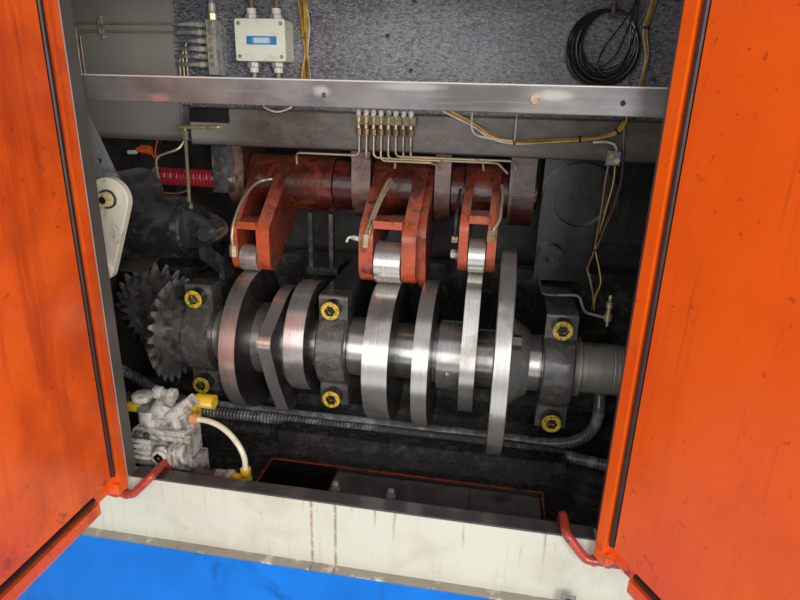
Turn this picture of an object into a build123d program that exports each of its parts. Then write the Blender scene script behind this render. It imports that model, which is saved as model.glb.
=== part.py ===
from build123d import *
import math
import os

# Camshaft bay of a cold header: a base that carries a doored housing, and inside it a camshaft
# in three capped bearings with its bevel drive, seven cams, three roller levers on a rocker
# shaft, the return spring group, the lubrication and the air unit.
# X runs along the camshaft to the right, Y from the door opening into the machine, Z up.
# The origin is on the floor, under the plane of the door opening. All sizes in millimetres.

# Housing
HOUSING_LEFT = -800.0
HOUSING_RIGHT = 500.0
HOUSING_BACK = 640.0
HOUSING_TOP = 1780.0
BASE_TOP = 737.0
BASE_STEP = 16.0             # the base stands this far in front of the apron
BASE_EDGE = 5.0
SHEET = 4.0
DECK = 20.0

# Door opening
OPEN_LEFT = -475.0
OPEN_RIGHT = 294.0
OPEN_BOTTOM = 861.0
OPEN_TOP = HOUSING_TOP - 91.0
JAMB_DEPTH = 24.0
LEDGE_T = 3.0
SILL_DEPTH = 28.0
SILL_STRIP = 3.0
POST_W = 45.0
POST_INSET = 25.0            # post's inner face behind the jamb's edge
POST_Y = 10.0

# Rail across the opening
RAIL_T = 10.0
RAIL_H = 36.0
RAIL_Z = 1483.0
RAIL_LAP = 30.0

# Upper wall casting with its beam
WALL_Y = 440.0
WALL_T = 80.0
WALL_PAD = 8.0
PAD_RIGHT = -563.0
BEAM_Y = 365.0
BEAM_LEFT = -505.0
BEAM_RIGHT = 400.0
BEAM_BOTTOM = 1382.0
BEAM_H = 70.0
TAPPED_R = 4.0
TAPPED_DEEP = 16.0
BEAM_TOP = BEAM_BOTTOM + BEAM_H
WALL_ROOM = HOUSING_TOP - BEAM_TOP


def on_wall(share):
    """A height on the wall above the beam, as a share of the room there."""
    return BEAM_TOP + share * WALL_ROOM


TAPPED_HOLES = ((-78.0, on_wall(0.604)), (-80.0, on_wall(0.238)), (-127.0, on_wall(0.421)),
                (400.0, on_wall(0.329)), (366.0, on_wall(0.213)))
HOOK = (275.0, on_wall(0.5354))    # peg for the spare cable: X, Z
HOOK_R = 5.0
HOOK_OUT = 34.0

# Camshaft
CAM_Y = 300.0
CAM_Z = 1008.0
SHAFT_R = 47.5
SHAFT_LEFT = -574.0
SHAFT_RIGHT = 452.0
END_CHAMFER = 3.0
RUN_GAP = 0.05               # radial gap of each shaft, pin and roller in its seat
SIDE_GAP = 1.0               # gap between a turning face and a fixed one
BUSH_WALL = 8.0

# Bearings
CAP_X = (-461.0, -187.0, 236.0)
CAP_NAMES = ("left", "middle", "right")
CAP_W = 56.0
CAP_LUG_T = 40.0
CAP_ARCH_R = 80.0
CAP_BOLT_HALF = 92.5
CAP_LUG_END = 23.0
CAP_EDGE = 3.0
SCREW_HEAD_R = 18.0
SCREW_HEAD_H = 24.0
SCREW_HEX = 19.0
SCREW_HEX_DEEP = 14.0
SCREW_R = 12.0
SCREW_DEEP = 55.0
SCREW_BORE_R = 12.5
BED_FRONT = 540.0
BED_WALL = 40.0
BED_LEFT = -760.0
BED_RIGHT = 460.0
SADDLE_UNDER = 892.0
SADDLE_FOOT = 790.0

# Bevel drive: two equal gears at right angles
GEAR_TEETH = 24
GEAR_PITCH_R = 102.0
GEAR_APEX_X = -639.0
GEAR_SHRINK = 0.72           # small end over large end
ADDENDUM = 6.0
DEDENDUM = 8.5
TOOTH_THICK = 10.8
TOOTH_FLANK = 20.0
HUB_R = 70.0
CROSS_HUB_R = 60.0
CROSS_HUB_L = 30.0
CROSS_R = 40.0
CROSS_END = 530.0
CROSS_BLOCK = (150.0, 84.0, 176.0)   # width, depth, height of the cross shaft's bearing
GUARD_R = 165.0
GUARD_T = 4.0
GUARD_X = (-600.0, -545.0)

# Cams, each with its left and right face and its dwell radius
CAM_1 = (-377.0, -346.0, 142.0)
CAM_2 = (-303.0, -278.0, 148.0)
CAM_3 = (-264.0, -226.0, 110.0)
CAM_4 = (-109.0, -63.0, 138.0)
CAM_5 = (-19.0, 9.0, 144.0)
CAM_6 = (62.0, 89.0, 170.0)
CAM_7 = (119.0, 147.0, 196.0)
CAM_1_RELIEF = 116.0
CAM_2_BASE = 112.0
CAM_2_NOSE = (-115.6, 42.1, 20.0)    # Y and Z from the shaft, radius
CAM_2_HEEL = (-30.0, -112.0, 32.0)
CAM_3_RISE = 16.0
CAM_4_RELIEF = 120.0
CAM_5_RELIEF = 122.0
CAM_6_BASE = 105.0
CAM_6_NOSE = 60.0
CAM_7_RISE = 20.0
CAM_ROUND = 18.0
SLEEVE_WIDE = 85.0
SLEEVE_BIG = 72.0
SLEEVE_MID = 67.0
SLEEVE_SMALL = 58.0
CONE_R = 88.0
CONE_END = 185.0
CAM_BOLT_AF = 24.0
CAM_BOLT_H = 16.0
CAM_BOLT_R = 8.0
CAM_BOLT_AT = (-80.0, 71.0)  # from the shaft's axis: Y, Z

# Rocker shaft and its pedestals
ROCK_Y = 450.0
ROCK_Z = 1306.0
ROCK_R = 32.0
ROCK_LEFT = -450.0
ROCK_RIGHT = 180.0
HUB_OUT = 57.0
PEDESTAL_R = 64.0
PEDESTALS = ((-446.0, -410.0), (-184.0, -146.0), (-18.5, 12.0), (124.0, 172.0))
COLLARS = ((-226.0, -186.0), (13.0, 37.0), (110.5, 123.0))

# Roller levers
ROLLER_GAP = 0.3             # roller above its cam's highest dwell
ROLLER_SIDE = 1.5
PIN_R = 11.0
PIN_HEAD_R = 15.0
PIN_HEAD = 5.0
WEB_T = 14.0

# Return spring group
SPRING_Y = 371.0
SPRING_Z = BEAM_BOTTOM - 67.0
SPRING_R = 15.5
SPRING_WIRE = 2.6
SPRING_TURNS = 17
SPRING_LEFT = -588.0
GUIDE = (-462.0, -430.0)
ROD_R = 7.0
ROD_RIGHT = -424.0

# Link and drive cylinder
LINK_X = -546.0
DRUM_Z = 1240.0
LINK_Z = DRUM_Z + 65.0
LINK_END = (-575.0, DRUM_Z - 60.0)
LINK_T = 14.0
LINK_Y = 143.0
LINK_BORE_R = 9.0
DRUM_Y = 245.0
DRUM_R = 58.0
EYE = (-415.0, DRUM_Z - 3.0)
STAY_END = (-650.0, LINK_Z + 283.0)   # the stay bar's far end: X, Z
STAY_R = 9.0

# Oil trough behind the sill
TROUGH = (-278.0, 225.0, 30.0, 148.0)
TROUGH_RIM = 830.0
TROUGH_WALL = 4.0
PLATE_LEFT = -148.0
PLATE_T = 6.0
PLATE_Z = 815.0

# Hoses on the deck
HOSE_R = 12.5
HOSE_A_Y = 408.0
HOSE_B_Y = 378.0

# Doors, drawn closed and turned about their pins to the open rest
DOOR_T = 24.0
DOOR_GAP = 2.0               # closed door to the front sheet
DOOR_BOTTOM = OPEN_BOTTOM - 11.0
DOOR_TOP = OPEN_TOP + 11.0
DOOR_MID_X = (OPEN_LEFT + OPEN_RIGHT) / 2
DOOR_MID_Z = (DOOR_BOTTOM + DOOR_TOP) / 2
EDGE_OUT = 15.0              # closed leaf's hinge edge beyond the opening
MEET_GAP = 1.5
RIM_W = 20.0
PANEL_DEEP = 6.0
GROOVE_W = 13.0
GROOVE_DEEP = 4.5
EDGE_ROUND = 3.0
PIN_IN = 7.5                 # hinge pin from the leaf's edge
PIN_Y = -16.0
HINGE_PIN_R = 5.0
PIN_DEEP = 32.0
ARM_R = 7.0
ARM_DROP = 11.0              # arm's axis below the leaf
ARM_RISE = 34.0              # and up over the sill
ARM_BACK = 44.0
LEFT_OPEN = 90.0
RIGHT_OPEN = 120.0
NOTCH = (26.0, 73.0, 31.5)   # in the leaf for the arm: from the edge, to, and height
NOTCH_SKIN = 4.2


def block(x0, x1, y0, y1, z0, z1):
    return Pos((x0 + x1) / 2, (y0 + y1) / 2, (z0 + z1) / 2) * Box(x1 - x0, y1 - y0, z1 - z0)


def rod_x(radius, x0, x1, y, z):
    return Pos((x0 + x1) / 2, y, z) * Rot(0, 90, 0) * Cylinder(radius, x1 - x0)


def rod_y(radius, x, y0, y1, z):
    return Pos(x, (y0 + y1) / 2, z) * Rot(90, 0, 0) * Cylinder(radius, y1 - y0)


def rod_z(radius, x, y, z0, z1):
    return Pos(x, y, (z0 + z1) / 2) * Cylinder(radius, z1 - z0)


def slab_x(outline, x0, x1):
    """A sketch drawn in Y and Z, made solid from x0 to x1."""
    return extrude(Plane(origin=(x0, 0, 0), x_dir=(0, 1, 0), z_dir=(1, 0, 0)) * outline, x1 - x0)


def slab_y(outline, y0, y1):
    """A sketch drawn in X and Z, made solid from y0 to y1."""
    return extrude(Plane(origin=(0, y1, 0), x_dir=(1, 0, 0), z_dir=(0, -1, 0)) * outline, y1 - y0)


def hull(*circles):
    """The outline round circles given as centre and radius."""
    edges = [edge for u, v, r in circles for edge in (Pos(u, v) * Circle(r)).edges()]
    return make_hull(edges)


def outline(*points):
    return make_face(Polyline(*points, close=True))


def hexagon(across, radius_share=1.0):
    return RegularPolygon(radius=across / math.sqrt(3) * radius_share, side_count=6)


def route(points, radii):
    return FilletPolyline(*points, radius=radii)


def pipe(points, radii, radius):
    """A round bar along straight runs joined by tangent arcs."""
    path = route(points, radii)
    start = Plane(origin=path @ 0, z_dir=path % 0)
    return sweep(start * Circle(radius), path=path)


def straight_pipe(a, b, radius):
    path = Line(a, b)
    return sweep(Plane(origin=a, z_dir=path % 0) * Circle(radius), path=path)


def ring_on_shaft(radius, x0, x1):
    return rod_x(radius, x0, x1, CAM_Y, CAM_Z) - rod_x(SHAFT_R + RUN_GAP, x0, x1, CAM_Y, CAM_Z)


# Base, deck and sheet work
def base_plinth():
    body = block(HOUSING_LEFT, HOUSING_RIGHT, -BASE_STEP, HOUSING_BACK, 0, BASE_TOP)
    front = body.edges().filter_by(Axis.Z).sort_by(Axis.Y)[:2]
    return fillet(front, BASE_EDGE)


def bay_floor():
    plate = block(HOUSING_LEFT + SHEET, HOUSING_RIGHT - SHEET, SHEET, HOUSING_BACK - SHEET,
                  BASE_TOP, BASE_TOP + DECK)
    beam = block(-330, 285, 310, 350, BASE_TOP + DECK, BASE_TOP + DECK + 28)
    return plate + beam


def apron():
    face = block(HOUSING_LEFT, HOUSING_RIGHT, 0, SHEET, BASE_TOP, OPEN_BOTTOM)
    ledge = block(HOUSING_LEFT, HOUSING_RIGHT, -BASE_STEP, 0, BASE_TOP, BASE_TOP + LEDGE_T)
    back = block(OPEN_LEFT - POST_INSET, OPEN_RIGHT + POST_INSET, SHEET, SILL_DEPTH,
                 OPEN_BOTTOM - SHEET, OPEN_BOTTOM)
    return face + ledge + back


def sill_strip():
    return block(OPEN_LEFT + SHEET, OPEN_RIGHT - SHEET, 1, SILL_DEPTH, OPEN_BOTTOM,
                 OPEN_BOTTOM + SILL_STRIP)


def post_faces():
    left = OPEN_LEFT - POST_INSET
    right = OPEN_RIGHT + POST_INSET
    return ((left - POST_W, left), (right, right + POST_W))


def enclosure():
    shell = block(HOUSING_LEFT, HOUSING_RIGHT, 0, HOUSING_BACK, BASE_TOP, HOUSING_TOP)
    shell -= block(HOUSING_LEFT + SHEET, HOUSING_RIGHT - SHEET, SHEET, HOUSING_BACK - SHEET,
                   BASE_TOP, HOUSING_TOP - SHEET)
    shell -= block(HOUSING_LEFT, HOUSING_RIGHT, 0, SHEET, BASE_TOP, OPEN_BOTTOM)
    lining = block(OPEN_LEFT - SHEET, OPEN_RIGHT + SHEET, 0, JAMB_DEPTH, OPEN_BOTTOM,
                   OPEN_TOP + SHEET)
    shell += lining
    shell -= block(OPEN_LEFT, OPEN_RIGHT, -1, JAMB_DEPTH + 1, OPEN_BOTTOM, OPEN_TOP)
    for x0, x1 in post_faces():
        shell += block(x0, x1, POST_Y, POST_Y + POST_W, BASE_TOP + DECK, HOUSING_TOP - SHEET)
        shell += block(x0, x1, SHEET, POST_Y, OPEN_BOTTOM, HOUSING_TOP - SHEET)
    return shell


def guard_rail():
    left = OPEN_LEFT - POST_INSET - RAIL_LAP
    right = OPEN_RIGHT + POST_INSET + RAIL_LAP
    back = POST_Y + POST_W
    bar = block(left, right, back, back + RAIL_T, RAIL_Z - RAIL_H / 2, RAIL_Z + RAIL_H / 2)
    for x in (-137.0, 251.0):
        bar -= rod_y(3.5, x, back, back + RAIL_T, RAIL_Z - 2)
    return fillet(bar.edges().filter_by(Axis.X), 1.5)


# Castings above and behind the camshaft
def wall_casting():
    left = HOUSING_LEFT + SHEET
    right = HOUSING_RIGHT - SHEET
    wall = block(left, right, WALL_Y, WALL_Y + WALL_T, BEAM_BOTTOM, HOUSING_TOP - SHEET)
    wall += block(left, PAD_RIGHT, WALL_Y - WALL_PAD, WALL_Y, BEAM_BOTTOM, HOUSING_TOP - SHEET)
    beam = block(BEAM_LEFT, BEAM_RIGHT, BEAM_Y, WALL_Y, BEAM_BOTTOM, BEAM_BOTTOM + BEAM_H)
    wall += fillet(beam.edges().filter_by(Axis.X).group_by(Axis.Y)[0], 4)
    for x, z in TAPPED_HOLES:
        wall -= rod_y(TAPPED_R, x, WALL_Y, WALL_Y + TAPPED_DEEP, z)
    x, z = HOOK
    wall += rod_y(HOOK_R, x, WALL_Y - HOOK_OUT, WALL_Y, z)
    wall += rod_z(HOOK_R, x, WALL_Y - HOOK_OUT, z, z + 16)
    return wall


def side_casting():
    front = ROCK_Y
    plate = block(190, HOUSING_RIGHT - SHEET, front, BED_FRONT, 1130, BEAM_BOTTOM)
    plate -= block(300, 420, front - 1, front + 50, 1150, 1215)
    plate += rod_y(72, 262, front - 26, front, 1300)
    plate -= rod_y(50, 262, front - 27, front - 14, 1300)
    plate += rod_y(26, 218, front - 22, front, 1182)
    plate -= rod_y(9, 218, front - 23, front - 4, 1182)
    return plate


def saddle_outline():
    top = CAM_Z + CAP_BOLT_HALF + CAP_LUG_END
    return outline((CAM_Y, top), (BED_FRONT, top), (BED_FRONT, SADDLE_FOOT),
                   (CAM_Y + 150, SADDLE_FOOT), (CAM_Y + 34, SADDLE_UNDER), (CAM_Y, SADDLE_UNDER))


def bush_seat_r():
    return SHAFT_R + RUN_GAP + BUSH_WALL


def bed_casting():
    top = CAM_Z + CAP_BOLT_HALF + CAP_LUG_END
    bed = block(BED_LEFT, BED_RIGHT, BED_FRONT, BED_FRONT + BED_WALL, BASE_TOP + DECK, top)
    bed += block(BED_LEFT, BED_RIGHT, BED_FRONT - 60, BED_FRONT, BASE_TOP + DECK, BASE_TOP + DECK + 30)
    for x in CAP_X:
        saddle = slab_x(saddle_outline(), x - CAP_W / 2, x + CAP_W / 2)
        for side in (-1, 1):
            z = CAM_Z + side * CAP_BOLT_HALF
            saddle -= rod_y(SCREW_R, x, CAM_Y, CAM_Y + SCREW_DEEP, z)
        bed += saddle
    bed -= rod_x(bush_seat_r(), CAP_X[0] - CAP_W, CAP_X[2] + CAP_W, CAM_Y, CAM_Z)
    bed += block(-300, -230, ROCK_Y - 10, BED_FRONT, top - 16, top)
    for x0 in (-294.0, -248.0):
        bed += block(x0, x0 + 9, ROCK_Y - 8, ROCK_Y + 8, top, ROCK_Z - HUB_OUT - 6)
    return bed


def bearing_cap(x):
    z_end = CAP_BOLT_HALF + CAP_LUG_END
    lugs = Pos(CAM_Y - CAP_LUG_T / 2, CAM_Z) * RectangleRounded(CAP_LUG_T, 2 * z_end, 6)
    lugs += Pos(CAM_Y - CAP_LUG_T / 4, CAM_Z) * Rectangle(CAP_LUG_T / 2, 2 * z_end)
    arch = Pos(CAM_Y, CAM_Z) * Circle(CAP_ARCH_R)
    front_half = Pos(CAM_Y - 100, CAM_Z) * Rectangle(200, 400)
    body = slab_x((lugs + arch) & front_half, x - CAP_W / 2, x + CAP_W / 2)
    body -= rod_x(bush_seat_r(), x - CAP_W, x + CAP_W, CAM_Y, CAM_Z)
    rims = body.edges().filter_by(GeomType.CIRCLE).filter_by(lambda e: e.radius > CAP_ARCH_R - 1)
    body = chamfer(rims, CAP_EDGE)
    for side in (-1, 1):
        z = CAM_Z + side * CAP_BOLT_HALF
        body -= rod_y(SCREW_BORE_R, x, CAM_Y - CAP_LUG_T, CAM_Y, z)
    return body


def cap_screws():
    front = CAM_Y - CAP_LUG_T
    group = []
    for x in CAP_X:
        for side in (-1, 1):
            z = CAM_Z + side * CAP_BOLT_HALF
            head = rod_y(SCREW_HEAD_R, x, front - SCREW_HEAD_H, front, z)
            head = chamfer(head.edges().group_by(Axis.Y)[0], 1.5)
            socket = slab_y(Pos(x, z) * hexagon(SCREW_HEX), front - SCREW_HEAD_H,
                            front - SCREW_HEAD_H + SCREW_HEX_DEEP)
            shank = rod_y(SCREW_R, x, front, CAM_Y + SCREW_DEEP - 3, z)
            group.append(head - socket + shank)
    return Compound(children=group)


def bearing_bushes():
    group = []
    for x in CAP_X:
        outer = rod_x(bush_seat_r(), x - CAP_W / 2, x + CAP_W / 2, CAM_Y, CAM_Z)
        group.append(outer - rod_x(SHAFT_R + RUN_GAP, x - CAP_W, x + CAP_W, CAM_Y, CAM_Z))
    return Compound(children=group)


# Camshaft, bevel drive and cams
def camshaft():
    shaft = rod_x(SHAFT_R, SHAFT_LEFT, SHAFT_RIGHT, CAM_Y, CAM_Z)
    shaft = chamfer(shaft.edges().filter_by(GeomType.CIRCLE), END_CHAMFER)
    cap_end = CAP_X[2] + CAP_W / 2 + SIDE_GAP
    shaft += rod_x(SLEEVE_SMALL - 2, cap_end, cap_end + 14, CAM_Y, CAM_Z)
    for x in (335.0, 343.0):
        groove = rod_x(SHAFT_R + 1, x, x + 3, CAM_Y, CAM_Z) - rod_x(SHAFT_R - 2, x, x + 3, CAM_Y, CAM_Z)
        shaft -= groove
    return shaft


def tooth_outline(large_r):
    """The gear's section at its large end, teeth and gaps in turn, in the gear's own plane."""
    cone = large_r * math.sqrt(2)
    tip = large_r * math.tan(math.radians(45) + ADDENDUM / cone)
    root = large_r * math.tan(math.radians(45) - DEDENDUM / cone)
    spread = math.tan(math.radians(TOOTH_FLANK))
    half_tip = (TOOTH_THICK / 2 - ADDENDUM * spread) / tip
    half_root = (TOOTH_THICK / 2 + DEDENDUM * spread) / root
    points = []
    for tooth in range(GEAR_TEETH):
        middle = 2 * math.pi * tooth / GEAR_TEETH
        for radius, angle in ((root, -half_root), (tip, -half_tip), (tip, half_tip), (root, half_root)):
            points.append((radius * math.cos(middle + angle), radius * math.sin(middle + angle)))
    return points


def bevel_teeth(turn):
    """Teeth and rim with the apex at the origin and the large end up at the pitch radius."""
    points = tooth_outline(GEAR_PITCH_R)
    big = Pos(0, 0, GEAR_PITCH_R) * Rot(0, 0, turn) * outline(*points)
    small_points = [(GEAR_SHRINK * u, GEAR_SHRINK * v) for u, v in points]
    small = Pos(0, 0, GEAR_PITCH_R * GEAR_SHRINK) * Rot(0, 0, turn) * outline(*small_points)
    return loft([small, big], ruled=True)


def camshaft_bevel_gear():
    half_tooth = 180.0 / GEAR_TEETH
    teeth = Pos(GEAR_APEX_X, CAM_Y, CAM_Z) * Rot(0, 90, 0) * bevel_teeth(half_tooth)
    back = GEAR_APEX_X + GEAR_PITCH_R
    gear = teeth + rod_x(HUB_R, back, CAP_X[0] - CAP_W / 2 - SIDE_GAP - 2, CAM_Y, CAM_Z)
    front = GEAR_APEX_X + GEAR_PITCH_R * GEAR_SHRINK
    gear -= rod_x(SHAFT_R + RUN_GAP, front - 1, CAP_X[0], CAM_Y, CAM_Z)
    return gear


def cross_bevel_gear():
    teeth = Pos(GEAR_APEX_X, CAM_Y, CAM_Z) * Rot(-90, 0, 0) * bevel_teeth(0)
    back = CAM_Y + GEAR_PITCH_R
    front = CAM_Y + GEAR_PITCH_R * GEAR_SHRINK
    gear = teeth + rod_y(CROSS_HUB_R, GEAR_APEX_X, back, back + CROSS_HUB_L, CAM_Z)
    gear += rod_y(CROSS_R, GEAR_APEX_X, back, CROSS_END, CAM_Z)
    gear -= rod_y(52, GEAR_APEX_X, front - 1, front + 5, CAM_Z)
    gear -= rod_y(6, GEAR_APEX_X, front, front + 20, CAM_Z)
    return gear


def cross_bearing():
    width, depth, height = CROSS_BLOCK
    back = BED_FRONT
    housing = block(GEAR_APEX_X - width / 2, GEAR_APEX_X + width / 2, back - depth, back,
                    CAM_Z - height / 2, CAM_Z + height / 2)
    housing = fillet(housing.edges().filter_by(Axis.Y), 14)
    return housing - rod_y(CROSS_R + RUN_GAP, GEAR_APEX_X, back - depth - 1, back + 1, CAM_Z)


def gear_guard():
    ring = Circle(GUARD_R) - Circle(GUARD_R - GUARD_T)
    wedge = outline((0, 0), (-GUARD_R, 1.9 * GUARD_R), (1.05 * GUARD_R, 1.9 * GUARD_R))
    band = slab_x(Pos(CAM_Y, CAM_Z) * (ring & wedge), GUARD_X[0], GUARD_X[1])
    foot = block(GUARD_X[0], GUARD_X[1], 372, BED_FRONT, 1146, 1150)
    drop = block(GUARD_X[0], GUARD_X[1], BED_FRONT - 4, BED_FRONT, 1098, 1150)
    return band + foot + drop


def cam_on_shaft(profile, x0, x1):
    body = slab_x(Pos(CAM_Y, CAM_Z) * profile, x0, x1)
    return body - rod_x(SHAFT_R + RUN_GAP, x0, x1, CAM_Y, CAM_Z)


def relieved(dwell, relief, turn):
    """A dwell circle cut back on one side by a larger circle set off the other way."""
    off = dwell * 0.4
    large = relief + off
    shape = Circle(dwell) & (Rot(0, 0, turn) * Pos(-off, 0) * Circle(large))
    return fillet(shape.vertices(), CAM_ROUND)


def cam_1():
    disc = cam_on_shaft(relieved(CAM_1[2], CAM_1_RELIEF, 0), CAM_1[0], CAM_1[1])
    left = ring_on_shaft(SLEEVE_SMALL, CAP_X[0] + CAP_W / 2 + SIDE_GAP, CAM_1[0])
    right = ring_on_shaft(SLEEVE_BIG, CAM_1[1], CAM_2[0])
    hub = right - rod_y(5, (CAM_1[1] + CAM_2[0]) / 2, CAM_Y - SLEEVE_BIG, CAM_Y - SHAFT_R, CAM_Z)
    return disc + left + hub


def cam_2():
    shape = hull((0, 0, CAM_2_BASE), CAM_2_NOSE, CAM_2_HEEL)
    return cam_on_shaft(shape, CAM_2[0], CAM_2[1]) + ring_on_shaft(SLEEVE_WIDE, CAM_2[1], CAM_3[0])


def cam_3():
    disc = cam_on_shaft(Pos(0, CAM_3_RISE) * Circle(CAM_3[2]), CAM_3[0], CAM_3[1])
    return disc + ring_on_shaft(SLEEVE_SMALL, CAM_3[1], CAP_X[1] - CAP_W / 2 - SIDE_GAP)


def cam_4():
    disc = cam_on_shaft(relieved(CAM_4[2], CAM_4_RELIEF, -30), CAM_4[0], CAM_4[1])
    left = ring_on_shaft(SLEEVE_SMALL, CAP_X[1] + CAP_W / 2 + SIDE_GAP, CAM_4[0])
    return disc + left + ring_on_shaft(SLEEVE_SMALL - 4, CAM_4[1], CAM_5[0])


def cam_5():
    disc = cam_on_shaft(relieved(CAM_5[2], CAM_5_RELIEF, 20), CAM_5[0], CAM_5[1])
    return disc + ring_on_shaft(SLEEVE_SMALL, CAM_5[1], CAM_5[1] + 7)


def cam_6():
    nose = CAM_6[2] - CAM_6_NOSE
    disc = cam_on_shaft(hull((0, 0, CAM_6_BASE), (0, nose, CAM_6_NOSE)), CAM_6[0], CAM_6[1])
    left = ring_on_shaft(SLEEVE_MID, CAM_5[1] + 7, CAM_6[0])
    left -= rod_y(6, 38, CAM_Y - SLEEVE_MID, CAM_Y - SHAFT_R, CAM_Z - 14)
    return disc + left + ring_on_shaft(SLEEVE_SMALL - 2, CAM_6[1], CAM_7[0])


def cam_7():
    disc = slab_x(Pos(CAM_Y, CAM_Z + CAM_7_RISE) * Circle(CAM_7[2]), CAM_7[0], CAM_7[1])
    disc = chamfer(disc.edges().filter_by(GeomType.CIRCLE), 1.5)
    length = CONE_END - CAM_7[1]
    middle = (CONE_END + CAM_7[1]) / 2
    cone = Pos(middle, CAM_Y, CAM_Z) * Rot(0, 90, 0) * Cone(CONE_R, SLEEVE_SMALL + 4, length)
    ring = rod_x(SLEEVE_SMALL - 4, CONE_END, CAP_X[2] - CAP_W / 2 - SIDE_GAP, CAM_Y, CAM_Z)
    body = disc + cone + ring
    v, w = CAM_BOLT_AT
    body -= rod_x(CAM_BOLT_R + RUN_GAP, CAM_7[0] - 1, CAM_7[1] + 1, CAM_Y + v, CAM_Z + w)
    return body - rod_x(SHAFT_R + RUN_GAP, CAM_7[0] - 1, CAP_X[2], CAM_Y, CAM_Z)


def cam_bolt():
    v, w = CAM_BOLT_AT
    y = CAM_Y + v
    z = CAM_Z + w
    head = slab_x(Pos(y, z) * hexagon(CAM_BOLT_AF), CAM_7[1] + 3, CAM_7[1] + 3 + CAM_BOLT_H)
    washer = rod_x(14, CAM_7[1], CAM_7[1] + 3, y, z)
    return head + washer + rod_x(CAM_BOLT_R, CAM_7[0] + 1, CAM_7[1], y, z)


# Rocker shaft and roller levers
def rocker_shaft():
    shaft = rod_x(ROCK_R, ROCK_LEFT, ROCK_RIGHT, ROCK_Y, ROCK_Z)
    shaft = chamfer(shaft.edges().filter_by(GeomType.CIRCLE), 2)
    for x0, x1 in COLLARS:
        shaft += rod_x(HUB_OUT - 5, x0, x1, ROCK_Y, ROCK_Z)
    return shaft


def rocker_pedestals():
    shape = hull((ROCK_Y, ROCK_Z, PEDESTAL_R), (ROCK_Y - 50, BEAM_BOTTOM - 12, 10),
                 (ROCK_Y + 50, BEAM_BOTTOM - 12, 10))
    head = Pos(ROCK_Y, BEAM_BOTTOM - 8) * Rectangle(2 * PEDESTAL_R, 16)
    group = []
    for x0, x1 in PEDESTALS:
        body = slab_x(shape + head, x0, x1)
        group.append(body - rod_x(ROCK_R + RUN_GAP, x0 - 1, x1 + 1, ROCK_Y, ROCK_Z))
    return Compound(children=group)


class Lever:
    """Places of one fork: roller centre, its half width, the two cheeks and the hub."""

    def __init__(self, cam, roller_r, left_t, right_t, hub_left, hub_right, knee):
        self.x = (cam[0] + cam[1]) / 2
        self.half = (cam[1] - cam[0]) / 2 + 2.0
        self.roller_r = roller_r
        self.y = CAM_Y
        self.z = CAM_Z + cam[2] + ROLLER_GAP + roller_r
        self.in_left = self.x - self.half - ROLLER_SIDE
        self.in_right = self.x + self.half + ROLLER_SIDE
        self.left = self.in_left - left_t
        self.right = self.in_right + right_t
        self.hub = (min(hub_left, self.left), max(hub_right, self.right))
        self.knee = knee
        self.plates = []


LEVER_1 = Lever(CAM_1, 26.0, 13.0, 26.0, -406.0, -228.0, 74.0)
LEVER_2 = Lever(CAM_4, 40.0, 26.0, 26.0, -144.0, -20.5, 84.0)
LEVER_2.plates.append((-33.5, -20.5, ((348.0, 1158.0, 32.0), (350.0, 1235.0, 50.0))))
LEVER_3 = Lever(CAM_6, 32.0, 16.0, 16.0, 39.0, 106.0, 78.0)


def lever_body(lever):
    end_r = lever.roller_r - 3
    knee_z = lever.z + lever.knee - end_r
    cheek = hull((lever.y, lever.z, end_r), (lever.y, knee_z, end_r), (ROCK_Y, ROCK_Z, HUB_OUT))
    body = rod_x(HUB_OUT, lever.hub[0], lever.hub[1], ROCK_Y, ROCK_Z)
    body += slab_x(cheek, lever.left, lever.in_left)
    body += slab_x(cheek, lever.in_right, lever.right)
    web_top = lever.z + lever.knee
    front = lever.y - end_r
    body += block(lever.in_left, lever.in_right, front, front + 60, web_top - WEB_T, web_top)
    for x0, x1, circles in lever.plates:
        body += slab_x(hull(*circles, (ROCK_Y, ROCK_Z, HUB_OUT - 4)), x0, x1)
    body -= rod_x(ROCK_R + RUN_GAP, lever.hub[0] - 1, lever.hub[1] + 1, ROCK_Y, ROCK_Z)
    body -= rod_x(PIN_R, lever.left - 1, lever.right + 1, lever.y, lever.z)
    return body


def roller(lever):
    wheel = rod_x(lever.roller_r, lever.x - lever.half, lever.x + lever.half, lever.y, lever.z)
    wheel = chamfer(wheel.edges().filter_by(GeomType.CIRCLE), 1)
    return wheel - rod_x(PIN_R + RUN_GAP, lever.x - 50, lever.x + 50, lever.y, lever.z)


def roller_pin(lever):
    pin = rod_x(PIN_R, lever.left, lever.right, lever.y, lever.z)
    return pin + rod_x(PIN_HEAD_R, lever.left - PIN_HEAD, lever.left, lever.y, lever.z)


# Return spring, link and drive drum
def return_spring():
    """A coil wound from short straight lengths of eight sided wire."""
    length = GUIDE[0] - SPRING_LEFT - 2 * SPRING_WIRE - 0.6
    steps = 12
    points = []
    for i in range(SPRING_TURNS * steps + 1):
        angle = 2 * math.pi * i / steps
        x = SPRING_LEFT + SPRING_WIRE + 0.3 + length * i / (SPRING_TURNS * steps)
        points.append((x, SPRING_Y + SPRING_R * math.cos(angle), SPRING_Z + SPRING_R * math.sin(angle)))
    path = Polyline(*points)
    wire = Plane(origin=path @ 0, z_dir=path % 0) * RegularPolygon(SPRING_WIRE, 6)
    return sweep(wire, path=path, transition=Transition.RIGHT)


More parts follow.
